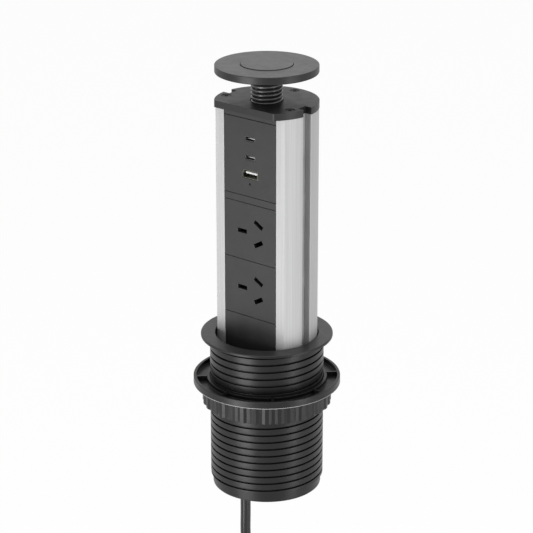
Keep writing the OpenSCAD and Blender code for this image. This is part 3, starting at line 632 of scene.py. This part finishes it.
# Plug: a moulded body with a narrow neck, its relief and three pins
PLUG_L, PLUG_W, PLUG_H, PLUG_T = 26.0, 34.0, 38.0, 18.0  # the relief's length, then the body
WIDE, NARROW, NECK_HALF, SHOULDER = 6.4, 4.4, 8, 9
PLUG_RINGS, PLUG_RING_STEP, PLUG_RING_DEPTH = 5, 3.6, 0.8
PIN_W, PIN_T, PIN_LENGTH, EARTH_LENGTH = 6.35, 1.6, 17.3, 20.0
taper = (WIDE - NARROW) / (PLUG_RINGS + 1)
outline = [(0, -PLUG_L - 1), (WIDE, -PLUG_L - 1), (WIDE, -PLUG_L + 3, 0.8)]
for i in range(PLUG_RINGS):
    z = -PLUG_L + 4 + PLUG_RING_STEP * i
    outline += [
        (WIDE - taper * (i + 0.3), z, 0.15),
        (WIDE - PLUG_RING_DEPTH - taper * (i + 0.3), z + 0.3, 0.1),
        (WIDE - PLUG_RING_DEPTH - taper * (i + 0.5), z + 1.4, 0.1),
        (WIDE - taper * (i + 0.55), z + 1.7, 0.15),
    ]
outline += [(NARROW, 0, 0.4), (0, 0)]
plug_relief = lathe("plug_relief_skin", rounded(outline, 3), sides=48)
place(plug_relief, lead_plane @ shift(*tail_end))
dress(plug_relief, "rubber", "tower", "plug_relief")

half = PLUG_W / 2
plug = prism(
    "plug_skin",
    rounded(
        [(NECK_HALF, 0, 2), (-NECK_HALF, 0, 2), (-half, -SHOULDER, 6), (-half, -PLUG_H, 5.5),
         (half, -PLUG_H, 5.5), (half, -SHOULDER, 6)],
        8,
    ),
    -PLUG_T / 2, PLUG_T / 2, top=0.8, bottom=3.5, steps=5,
)
place(plug, lead_plane @ shift(tail_end.x, tail_end.y, tail_end.z - PLUG_L) @ TO_FRONT)
dress(plug, "cord_jacket", "tower", "plug_body")

aside, down = PIN_OUT * sin(radians(PIN_TURN)), -PIN_OUT * cos(radians(PIN_TURN))
for name, at, spin, length in (
    ("pin_earth", (0, EARTH_OUT), 90, EARTH_LENGTH),
    ("pin_live", (aside, down), PIN_TURN, PIN_LENGTH),
    ("pin_neutral", (-aside, down), -PIN_TURN, PIN_LENGTH),
):
    section = pill(PIN_W, PIN_T, 0.4, 3)
    pin = prism(name + "_skin", section, -0.5, length, top=0.5, bottom=0, steps=2)
    place(
        pin,
        lead_plane @ shift(tail_end.x, tail_end.y - PLUG_T / 2, tail_end.z - PLUG_L - PLUG_H / 2)
        @ TO_FRONT @ shift(at[0], at[1], 0) @ Matrix.Rotation(radians(spin), 4, "Z"),
    )
    dress(pin, "brass", "tower", name)

# ---------------------------------------------------------------- lid and neck

HUB_R, HUB_H, PAD_R, RECESS_R, RECESS = 7.4, 1.2, 17.55, 17.9, 2
lid = lathe(
    "lid",
    rounded(
        [(0, LID_LOW - HUB_H), (HUB_R, LID_LOW - HUB_H, 0.3), (HUB_R, LID_LOW, 0.3),
         (TOWER_R, LID_LOW, 0.7), (TOWER_R, LID_TOP, 0.55), (RECESS_R, LID_TOP, 0.2),
         (RECESS_R, LID_TOP - RECESS), (0, LID_TOP - RECESS)],
        5,
    ),
)
dress(lid, "lid_plastic", "lid", "lid_disc")
pad = lathe(
    "pad",
    rounded(
        [(0, LID_TOP - RECESS), (PAD_R, LID_TOP - RECESS), (PAD_R, LID_TOP + 0.5, 0.3),
         (0, LID_TOP + 0.5)]
    ),
)
dress(pad, "lid_plastic", "lid", "lid_pad")

SPRING_OUT, WIRE, SEAT = 10.9, 2.45, 2.2
SPRING_TURNS, SPRING_START = 6.76, radians(-140)
spring_r = SPRING_OUT - WIRE / 2
low, high = CAP_TOP - SEAT + WIRE / 2 + 0.1, LID_LOW - WIRE / 2 - 0.1
steps = int(SPRING_TURNS * PER_TURN)
path = []
for i in range(steps + 1):
    a = SPRING_START + 2 * pi * i / PER_TURN
    path.append((spring_r * cos(a), spring_r * sin(a), low + (high - low) * i / steps))
spring = tube("spring", path, WIRE / 2)
dress(spring, "spring_steel", "tower", "neck_spring")
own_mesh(spring)

# ---------------------------------------------------------------- top cap


def d_outline(r, front, corner, notch=None, clip=0):
    """A circle with a flat front, clipped corners, and a notch at each side if one is given."""
    a = -degrees(asin(front / r))
    x = sqrt(r * r - front * front)
    ends = [(-x, -front, corner), (x, -front, corner)]
    if clip:
        half_turn = radians(90 + a) / 2
        near = r * cos(half_turn) - clip
        x = (near - front * cos(half_turn)) / sin(half_turn)
        a = degrees(half_turn + acos(near / r)) - 90
        xc, yc = r * cos(radians(a)), r * sin(radians(a))
        ends = [(-xc, yc, corner), (-x, -front, corner), (x, -front, corner), (xc, yc, corner)]
    if notch:
        inner, half = notch
        s = degrees(asin(half / r))
        xo = sqrt(r * r - half * half)
        right = [(x, y, 0.3) for x, y in ((xo, -half), (inner, -half), (inner, half), (xo, half))]
        left = [(-x, -y, e) for x, y, e in right]
        pts = arc(r, a, -s, 32)[1:-1] + right + arc(r, s, 180 - s, 160)[1:-1] + left
        pts += arc(r, 180 + s, 180 - a, 32)[1:-1]
    else:
        pts = arc(r, a, 180 - a, 160)[1:-1]
    return rounded(ends + pts, 5)


CAP_R, CAP_FRONT, CAP_CLIP, NOTCH = 35.2, 24, 0.24, (29.8, 4)
STEM_BORE, SCREW_R, HEAD_R = 5.3, 2.2, 3.5
cap_outline = d_outline(CAP_R, CAP_FRONT, 0.05, NOTCH, CAP_CLIP)
cap = prism("cap", cap_outline, CAP_LOW, CAP_TOP, top=0.8, bottom=0.15, steps=4)
bosses = lathe(
    "bosses",
    rounded(
        [(0, CAP_LOW - 5), (HUB_R - 0.1, CAP_LOW - 5, 0.4), (HUB_R - 0.1, CAP_LOW + 1),
         (HUB_R, CAP_LOW + 1), (HUB_R, CAP_TOP + 1.2, 0.3), (0, CAP_TOP + 1.2)],
        3,
    ),
    sides=64,
)
bore = lathe(
    "bore",
    [(0, CAP_LOW - 6), (STEM_BORE, CAP_LOW - 6), (STEM_BORE, CAP_TOP + 2), (0, CAP_TOP + 2)],
    sides=64,
)
sinks = [
    lathe(
        f"sink{i}",
        [(0, CAP_LOW - 1), (SCREW_R, CAP_LOW - 1), (SCREW_R, CAP_TOP - 2),
         (HEAD_R - 0.07, CAP_TOP - 0.25), (HEAD_R, CAP_TOP + 0.1), (HEAD_R, CAP_TOP + 1),
         (0, CAP_TOP + 1)],
        sides=48, at=p,
    )
    for i, p in enumerate(PORTS)
]
seat_in, seat_out = SPRING_OUT + 0.3, SPRING_OUT + 0.55
seat = lathe(
    "seat",
    [(0, CAP_TOP - SEAT), (seat_in, CAP_TOP - SEAT), (seat_in, CAP_TOP - 0.15),
     (seat_out, CAP_TOP + 0.1), (seat_out, CAP_TOP + 1), (0, CAP_TOP + 1)],
    sides=128,
)
cap = combine(cap, [seat], "DIFFERENCE")
cap = combine(cap, [bosses])
cap = combine(cap, [bore, *sinks], "DIFFERENCE")
dress(cap, "cap_plastic", "tower", "top_cap")

# ---------------------------------------------------------------- profile

OPEN = 22.8  # half the width of the open front
TRACK, TRACK_FLOOR, TRACK_LIP = 4, 29, 1.9  # half width, floor and lip of the side grooves
PORT_R, PORT_HOLE = 4.2, 2.1


def angle_from(centre, at, r):
    """The angle, seen from a centre, of the point at an angle and radius about the axis."""
    return degrees(atan2(r * sin(radians(at)) - centre[1], r * cos(radians(at)) - centre[0]))


def half_section():
    """Right half of the profile's outline, from the front lip round to the back."""
    r, inner = TOWER_R, TOWER_R - WALL
    track_x = sqrt(r * r - TRACK * TRACK)
    s = degrees(asin(TRACK / r))
    outer = [(OPEN, -FRONT, 0.25), (sqrt(r * r - FRONT * FRONT), -FRONT, 0.7)]
    outer += arc(r, -degrees(asin(FRONT / r)), -s, 36)[1:-1]
    outer += [(track_x, -TRACK, TRACK_LIP), (TRACK_FLOOR, -TRACK, 0.15),
              (TRACK_FLOOR, TRACK, 0.15), (track_x, TRACK, TRACK_LIP)]
    outer += arc(r, s, 90, 72)[1:]

    lip, web, web_x = FRONT - WALL, TRACK + WALL, TRACK_FLOOR - WALL
    port, back = PORTS[1:]
    spread = degrees(acos((PORT_RING ** 2 + inner ** 2 - PORT_R ** 2) / (2 * PORT_RING * inner)))
    port_at = degrees(atan2(PORT_Y, PORT_X))
    inside = [(OPEN, -lip), (sqrt(inner * inner - lip ** 2), -lip)]
    inside += arc(inner, -degrees(asin(lip / inner)), port_at - spread, 6)[1:]
    start, end = angle_from(port, port_at - spread, inner), degrees(acos((web_x - PORT_X) / PORT_R))
    inside += arc(PORT_R, start, end - 360 if end > start else end, 24, port)[1:]
    inside += [(web_x, web), (sqrt(inner * inner - web * web), web)]
    inside += arc(inner, degrees(asin(web / inner)), 90 - spread, 48)[1:]
    inside += arc(PORT_R, angle_from(back, 90 - spread, inner), -90, 18, back)[1:]
    return outer, inside


outer, inside = half_section()
section = outer + [(-p[0], *p[1:]) for p in reversed(outer)][1:]
section += [(-x, y) for x, y in inside] + inside[::-1][1:]
loops = [rounded(section)] + [circle(PORT_HOLE, 32, p) for p in PORTS]
profile = plate("profile_skin", loops, PROFILE_LOW, CAP_LOW, edge=0.1, steps=1)
dress(profile, "aluminium", "tower", "profile")

# ---------------------------------------------------------------- front modules

MODULE_W, SEAM, TAB, LAP = 45.0, 0.3, 1.7, 0.05  # LAP: how far joined blocks reach into each other
TAB_Y, BOX_Y = 15.6, 13.6  # behind the face: the tabs' front and the box's front
HOUSING_W, HOUSING_BACK, WELL_COVER = 43.09, -2.4, 3  # WELL_COVER: what is left before a well
SOCKET_H, FILLER_H, BLANK_H, USB_H = 40.8, 5.1, 47.7, 54.1
SLOTS_X, SLOT_X, SLOT_UP = 3.45, 3.96, 6.859  # the pattern's middle, then the slanted slots


def front_piece(o, material, name):
    """Turns an upright piece to the front and dresses it as a part of the tower."""
    return dress(place(o, TO_FRONT), material, "tower", name)


def module(name, z, h, holes=()):
    """Front plate with holes and the tabs behind it, drawn upright."""
    mid = z + h / 2
    face = plate(
        name, [rect(MODULE_W, h - SEAM, 0.5, 0, mid), *holes], TAB_Y - LAP, FRONT, edge=0.22
    )
    tabs = plate(
        name + "-flange", [rect(MODULE_W + 2 * TAB, h - SEAM, 0.3, 0, mid), *holes],
        BOX_Y, TAB_Y, edge=0.05, steps=1,
    )
    return combine(face, [tabs])


def slots(mid, w, h, r):
    """The slots of a socket: two slanted ones on the right, the level earth slot on the left."""
    return [
        rect(w, h, r, SLOTS_X + SLOT_X, mid + SLOT_UP, -30),
        rect(w, h, r, SLOTS_X + SLOT_X, mid - SLOT_UP, 30),
        rect(w, h, r, SLOTS_X - EARTH_OUT, mid, 0),
    ]


for name, z, h in (
    ("top_filler", 158.5, FILLER_H), ("mid_filler", 99.3, FILLER_H),
    ("lower_blank", PROFILE_LOW, BLANK_H),
):
    front_piece(module(name + "_skin", z, h), "panel_plastic", name)

SLOT, WELL = (8, 2.9, 0.15), (9.6, 5.8, 0.3)  # width, height and corner
for name, z in (("socket_lower", 17.7), ("socket_upper", 58.5)):
    mid = z + SOCKET_H / 2
    face = module(name + "_skin", z, SOCKET_H, slots(mid, *SLOT))
    housing = plate(
        name + "-housing",
        [rect(HOUSING_W, SOCKET_H - 2, 0.8, 0, mid), *slots(mid, *WELL)],
        HOUSING_BACK, BOX_Y + LAP, edge=0.05, steps=1,
    )
    wells = [
        plate(f"{name}-well{i}", [q], BOX_Y - 0.2, FRONT - WELL_COVER, edge=0.02, steps=1)
        for i, q in enumerate(slots(mid, *WELL))
    ]
    face = combine(face, [housing])
    face = combine(face, wells, "DIFFERENCE")
    front_piece(face, "panel_plastic", name)

USB_Z = 104.4
C_UPPER, C_LOWER, A_UP, LED_UP = USB_Z + 40.4, USB_Z + 27.4, USB_Z + 15.5, USB_Z + 8.9
C_W, C_H, A_W, A_H, SHELL, GAP = 9, 3.3, 13.3, 5.7, 0.4, 0.1
SHELL_Y, C_BACK, A_BACK, LED_HOLE = 17.4, 8.4, 4.4, 0.8
# Tongues and their feet: width, height and corner; then how far forward a tongue reaches
C_TONGUE, C_FOOT, C_TONGUE_Y = (7.4, 0.7, 0.3), (7.45, 2.3), 15.5
A_TONGUE, A_FOOT, A_TONGUE_Y = (11.1, 1.3, 0.3), (11.8, 4.7, 0.2), 15.2
holes = [
    stadium(C_W + 2 * GAP, C_H + 2 * GAP, C_UPPER), stadium(C_W + 2 * GAP, C_H + 2 * GAP, C_LOWER),
    rect(A_W + 2 * GAP, A_H + 2 * GAP, 0.4, 0, A_UP), circle(LED_HOLE, 24, (0, LED_UP)),
]
front_piece(module("usb_face_skin", USB_Z, USB_H, holes), "panel_plastic", "usb_face")

for row, up in (("upper", C_UPPER), ("lower", C_LOWER)):
    name = "usb_c_shell_" + row
    ring = [stadium(C_W, C_H, up), stadium(C_W - 2 * SHELL, C_H - 2 * SHELL, up)]
    shell = plate(name + "_skin", ring, C_BACK, SHELL_Y, edge=0.12)
    front_piece(shell, "dim_steel", name)
    name = "usb_c_tongue_" + row
    blade = [rect(*C_TONGUE, 0, up - 0.25)]
    tongue = plate(name + "_skin", blade, C_BACK + 0.1, C_TONGUE_Y, edge=0.1)
    foot = plate(name + "-foot", [stadium(*C_FOOT, up)], C_BACK, C_BACK + 1.5, edge=0.05)
    front_piece(combine(tongue, [foot]), "steel", name)

ring = [rect(A_W, A_H, 0.45, 0, A_UP), rect(A_W - 2 * SHELL, A_H - 2 * SHELL, 0.25, 0, A_UP)]
shell = plate("usb_a_shell_skin", ring, A_BACK, SHELL_Y, edge=0.12)
front_piece(shell, "shell_steel", "usb_a_shell")
blade = [rect(*A_TONGUE, 0, A_UP + 0.4)]
tongue = plate("usb_a_tongue_skin", blade, A_BACK + 0.1, A_TONGUE_Y, edge=0.15)
foot = plate("usb_a-foot", [rect(*A_FOOT, 0, A_UP)], A_BACK, A_BACK + 2, edge=0.05)
front_piece(combine(tongue, [foot]), "white_plastic", "usb_a_tongue")

# ---------------------------------------------------------------- bottom cap

BASE_HEAD_R = 3.7
base_outline = d_outline(TOWER_R, FRONT, 0.7)
base_cap = prism("base_cap", base_outline, BOTTOM, PROFILE_LOW, top=0.1, bottom=0.6)
lugs = side_blocks(
    "lug", inner=30.1, outer=34.4, half=3.9, low=BOTTOM + 0.1, high=-21.8, edge=0.3
)
sinks = [
    lathe(
        f"base-sink{i}",
        [(0, BOTTOM - 1), (BASE_HEAD_R, BOTTOM - 1), (BASE_HEAD_R, BOTTOM - 0.1),
         (BASE_HEAD_R - 0.3, BOTTOM + 0.2), (SCREW_R, BOTTOM + 2), (SCREW_R, BOTTOM + 4),
         (0, BOTTOM + 4)],
        sides=48, at=p,
    )
    for i, p in enumerate(PORTS)
]
base_cap = combine(base_cap, lugs)
base_cap = combine(base_cap, sinks, "DIFFERENCE")
dress(base_cap, "black_plastic", "tower", "bottom_cap")

# ---------------------------------------------------------------- sleeve with its thread

BORE, CREST, BAND, FLANGE_R = 35.8, 39.56, 38.0, 45.8
THREAD_TOP, THREAD_END, SLEEVE_END = 0.0, -103.72, -111.42
RING_R, RING_TOP, RING_LOW = 37.3, -4.0, -8.0  # the rubber ring's groove in the bore
WALL_TOP = 1.0  # where the bore's straight wall ends, under the flange's rounding
THREAD_PITCH, GROOVE, DEPTH = 5.2235, 1.25, 1.5
FACING, FACING_Z = radians(-49.87), -75.67  # where the photograph shows a groove's middle
COLUMNS, GROOVES, GROOVES_BELOW = 240, 24, 8
half_w = GROOVE / 2
# One groove, as (height from its middle, radius)
groove_shape = [
    (-half_w - 0.28, CREST), (-half_w - 0.08, CREST - 0.10), (-half_w + 0.06, CREST - 0.34),
    (-half_w + 0.14, CREST - DEPTH), (half_w - 0.14, CREST - DEPTH),
    (half_w - 0.06, CREST - 0.34), (half_w + 0.08, CREST - 0.10), (half_w + 0.28, CREST),
]
flange = rounded(
    [(BORE, WALL_TOP), (BORE, FLANGE_TOP, 0.45), (FLANGE_R, FLANGE_TOP, 0.7), (FLANGE_R, 0.0, 0.35),
     (CREST, 0.0)],
    5,
)


def radius_at(z, line):
    """The radius that a line of (height, radius) points has at a height."""
    for (z0, r0), (z1, r1) in zip(line, line[1:]):
        if z0 <= z <= z1:
            return r0 + (r1 - r0) * (z - z0) / (z1 - z0) if z1 > z0 else r1
    return CREST


def sleeve_column(a):
    """The sleeve's outline of (radius, height) at angle a, where the helix sets its grooves."""
    base = FACING_Z + THREAD_PITCH * ((a - FACING) / (2 * pi)) - THREAD_PITCH * GROOVES_BELOW
    line = [(base + k * THREAD_PITCH + dz, r) for k in range(GROOVES) for dz, r in groove_shape]
    end_r, top_r = radius_at(THREAD_END, line), radius_at(THREAD_TOP, line)
    column = [
        (BORE, SLEEVE_END + 0.3), (BORE + 0.3, SLEEVE_END), (BAND - 1.0, SLEEVE_END),
        (BAND - 0.5, SLEEVE_END + 0.13), (BAND - 0.13, SLEEVE_END + 0.5), (BAND, SLEEVE_END + 1.0),
        (BAND, THREAD_END - 0.35), (BAND + 0.1, THREAD_END - 0.1), (BAND + 0.35, THREAD_END),
    ]
    for z, r in line:
        if z <= THREAD_END:
            column.append((end_r, THREAD_END))
        elif z >= THREAD_TOP:
            column.append((top_r, THREAD_TOP))
        else:
            column.append((r, z))
    column += flange[::-1][1:-1]
    column += [(BORE, WALL_TOP), (BORE, RING_TOP), (RING_R, RING_TOP)]
    column += [(RING_R, RING_LOW), (BORE, RING_LOW)]
    return column


verts, faces = [], []
for i in range(COLUMNS + 1):
    a = 2 * pi * i / COLUMNS
    column = sleeve_column(a)
    verts += [(r * cos(a), r * sin(a), z) for r, z in column]
n = len(column)
for i in range(COLUMNS):
    for k in range(n):
        q = (k + 1) % n
        faces.append((i * n + k, (i + 1) * n + k, (i + 1) * n + q, i * n + q))
sleeve = new_object("sleeve_skin", verts, faces, 32)
dress(sleeve, "sleeve_plastic", "base", "sleeve")

# Keys and shelf inside the sleeve
SHELF_R, SHELF_Y, SHELF_LOW, SHELF_TOP = 36.6, 18.3, -30.6, -27.6
keys = side_blocks("key", inner=30.3, outer=SHELF_R, half=3.7, low=-19.5, high=-9.5, edge=0.4)
side = degrees(asin(SHELF_Y / SHELF_R))
segment = arc(SHELF_R, 180 + side, 360 - side, 48)
shelf = prism("shelf", segment, SHELF_LOW, SHELF_TOP, top=0.3, bottom=0.3, steps=2)
stops = join(shelf, keys)
stops.name = "sleeve_stops"
dress(stops, "sleeve_plastic", "base")

# ---------------------------------------------------------------- clamp

PLATE_R, PLATE_BORE, PLATE_TOP, PLATE_LOW = 51.2, 39.86, -29.7, -34.7
RIM, WEB, RIBS, RIB_HALF = 2.1, 1.6, 8, 0.8
web_z, collar, collar_top = PLATE_LOW + WEB, PLATE_BORE + RIM, PLATE_TOP - 0.6
clamp = lathe(
    "clamp_plate_skin",
    rounded(
        [(PLATE_BORE, PLATE_LOW, 0.2), (PLATE_R, PLATE_LOW, 0.55), (PLATE_R, PLATE_TOP, 0.45),
         (PLATE_R - RIM, PLATE_TOP, 0.3), (PLATE_R - RIM, web_z, 0.3), (collar, web_z, 0.3),
         (collar, collar_top, 0.25), (PLATE_BORE, collar_top, 0.25)]
    ),
    sides=224,
)
ribs = []
for i in range(RIBS):
    rib = box(
        f"rib{i}", (collar - 0.6, -RIB_HALF, web_z - 0.4),
        (PLATE_R - 1.5, RIB_HALF, PLATE_TOP - 0.35), edge=0.25,
    )
    ribs.append(place(rib, Matrix.Rotation(2 * pi * i / RIBS, 4, "Z")))
clamp = join(clamp, ribs)
dress(clamp, "sleeve_plastic", "clamp_plate", "clamp_plate")
# A pale ring along the plate's lower edge: a painted highlight, standing in for the light that the
# edge's chamfer reflects
edge_in, edge_out = PLATE_R - 1.5, PLATE_R + 0.1
rim = lathe(
    "clamp_plate_painted_highlight",
    rounded(
        [(edge_in, PLATE_LOW - 0.03), (edge_out, PLATE_LOW - 0.03, 0.2),
         (edge_out, PLATE_LOW + 0.45, 0.1), (edge_in, PLATE_LOW + 0.5)],
        3,
    ),
    sides=224,
)
dress(rim, "painted_highlight_plastic", "clamp_plate")

NUT_R, NUT_TOP, NUT_LOW, NUT_TURN, TEETH, TOOTH = 45.0, -35.0, -49.2, 6.4, 32, 0.8
TIP_SHARE, ROOT_SHARE = 0.3, 0.75  # how much of the pitch a tooth takes at its tip and its root
root, pitch = NUT_R - TOOTH, 360 / TEETH
crest, foot = pitch * TIP_SHARE / 2, pitch * ROOT_SHARE / 2
teeth = []
for i in range(TEETH):
    for r, b, q in (
        (root, -foot, 0.6), (NUT_R, -crest, 0.5), (NUT_R, crest, 0.5), (root, foot, 0.6),
        (root, pitch / 2, 0),
    ):
        t = radians(NUT_TURN + pitch * i + b)
        teeth.append((r * cos(t), r * sin(t), q))
loops = [rounded(teeth, 3), circle(PLATE_BORE, 192)]
nut = plate("clamp_nut_skin", loops, NUT_LOW, NUT_TOP, edge=0.3)
dress(nut, "nut_plastic", "clamp_nut", "clamp_nut")

# ---------------------------------------------------------------- CAD nodes that stay

KEEP = {
    "rubber": ["friction_ring", "lid_stem"],
    "strip_plastic": ["guide_strip_left", "guide_strip_right"],
    "dark_steel": [name for name in nodes if "_screw_" in name],
    "dark_brass": [name for name in nodes if name.startswith("contact_")],
    "black_plastic": ["usb_back", "socket_back_upper", "socket_back_lower"],
    "board": ["usb_board"],
    "lamp": ["status_led"],
    "steel": ["stem_clip"],
}
for material, names in KEEP.items():
    for name in names:
        nodes[name].data.materials.clear()
        nodes[name].data.materials.append(M[material])

# ---------------------------------------------------------------- floor, world, light

FLOOR_HALF, FLOOR_GAP = 9, 0.002  # metres; the gap under the cord with the tower down
FLOOR_SHADE, FLOOR_WHITE = 0.86, 0.93
SKY_LOW, SKY_TOP = 0.12, 1.0

travel = -next(j for j in frame["joints"] if j["name"] == "tower_slide")["range_m"][0]
floor_z = cad_box[0][2] - travel - FLOOR_GAP
me = bpy.data.meshes.new("floor")
corners = ((-1, -1), (1, -1), (1, 1), (-1, 1))
me.from_pydata([(x * FLOOR_HALF, y * FLOOR_HALF, floor_z) for x, y in corners], [], [(0, 1, 2, 3)])
floor = bpy.data.objects.new("floor", me)
scene.collection.objects.link(floor)


def white_share(nt, share):
    """How much plain white shows, for the rays that show the background."""
    rays = nt.nodes.new("ShaderNodeLightPath")
    total = rays.outputs["Is Camera Ray"]
    for kind in ("Is Glossy Ray", "Is Transmission Ray"):
        both = nt.nodes.new("ShaderNodeMath")
        both.operation = "MAXIMUM"
        nt.links.new(total, both.inputs[0])
        nt.links.new(rays.outputs[kind], both.inputs[1])
        total = both.outputs[0]
    part = nt.nodes.new("ShaderNodeMath")
    part.operation = "MULTIPLY"
    part.inputs[1].default_value = share
    nt.links.new(total, part.inputs[0])
    return part.outputs[0]


def mixed(nt, share, plain, white, output):
    """Shows plain to the light and a share of white to the rays that show the background."""
    mix = nt.nodes.new("ShaderNodeMixShader")
    nt.links.new(white_share(nt, share), mix.inputs["Fac"])
    nt.links.new(plain.outputs[0], mix.inputs[1])
    nt.links.new(white.outputs[0], mix.inputs[2])
    nt.links.new(mix.outputs[0], nt.nodes.new(output).inputs["Surface"])


mat = bpy.data.materials.new("floor")
mat.use_nodes = True
nt = mat.node_tree
nt.nodes.clear()
pale = nt.nodes.new("ShaderNodeBsdfDiffuse")
pale.inputs["Color"].default_value = (*grey(FLOOR_SHADE), 1)
glow = nt.nodes.new("ShaderNodeEmission")
glow.inputs["Strength"].default_value = 1.0
mixed(nt, FLOOR_WHITE, pale, glow, "ShaderNodeOutputMaterial")
me.materials.append(mat)

# A soft sky, brightest overhead
world = bpy.data.worlds.new("studio")
scene.world = world
world.use_nodes = True
wt = world.node_tree
wt.nodes.clear()
way = wt.nodes.new("ShaderNodeTexCoord")
axes = wt.nodes.new("ShaderNodeSeparateXYZ")
wt.links.new(way.outputs["Generated"], axes.inputs[0])
sky = wt.nodes.new("ShaderNodeBackground")
white = wt.nodes.new("ShaderNodeBackground")
for background in (sky, white):
    background.inputs["Color"].default_value = (1, 1, 1, 1)
wt.links.new(map_range(wt, axes.outputs["Z"], 0, 1, SKY_LOW, SKY_TOP), sky.inputs["Strength"])
mixed(wt, 1.0, sky, white, "ShaderNodeOutputWorld")


def softbox(name, turn, far, up, size, power, aim):
    """An area lamp turned from the camera's side about the tower, aimed at a height."""
    a = atan2(camera.location.y, camera.location.x) + radians(turn)
    at = Vector((far * cos(a), far * sin(a), up))
    la = bpy.data.lights.new(name, "AREA")
    la.shape, la.size, la.size_y, la.energy = "RECTANGLE", size[0], size[1], power
    o = bpy.data.objects.new(name, la)
    scene.collection.objects.link(o)
    o.location = at
    o.rotation_euler = (Vector((0, 0, aim)) - at).to_track_quat("-Z", "Y").to_euler()
    o.visible_camera = False


SIDE_FAR, SIDE_UP, SIDE_TALL = 0.85, -0.18, 0.76
for name, turn, wide, power in (("lamp_left", -43, 0.42, 6.2), ("lamp_right", 54, 0.26, 2.3)):
    softbox(name, turn, SIDE_FAR, SIDE_UP, (wide, SIDE_TALL), power, aim=SIDE_UP)
softbox("lamp_top", turn=60, far=0.2, up=1.9, size=(1.4, 1.4), power=20, aim=0)

scene.view_settings.view_transform = "Standard"
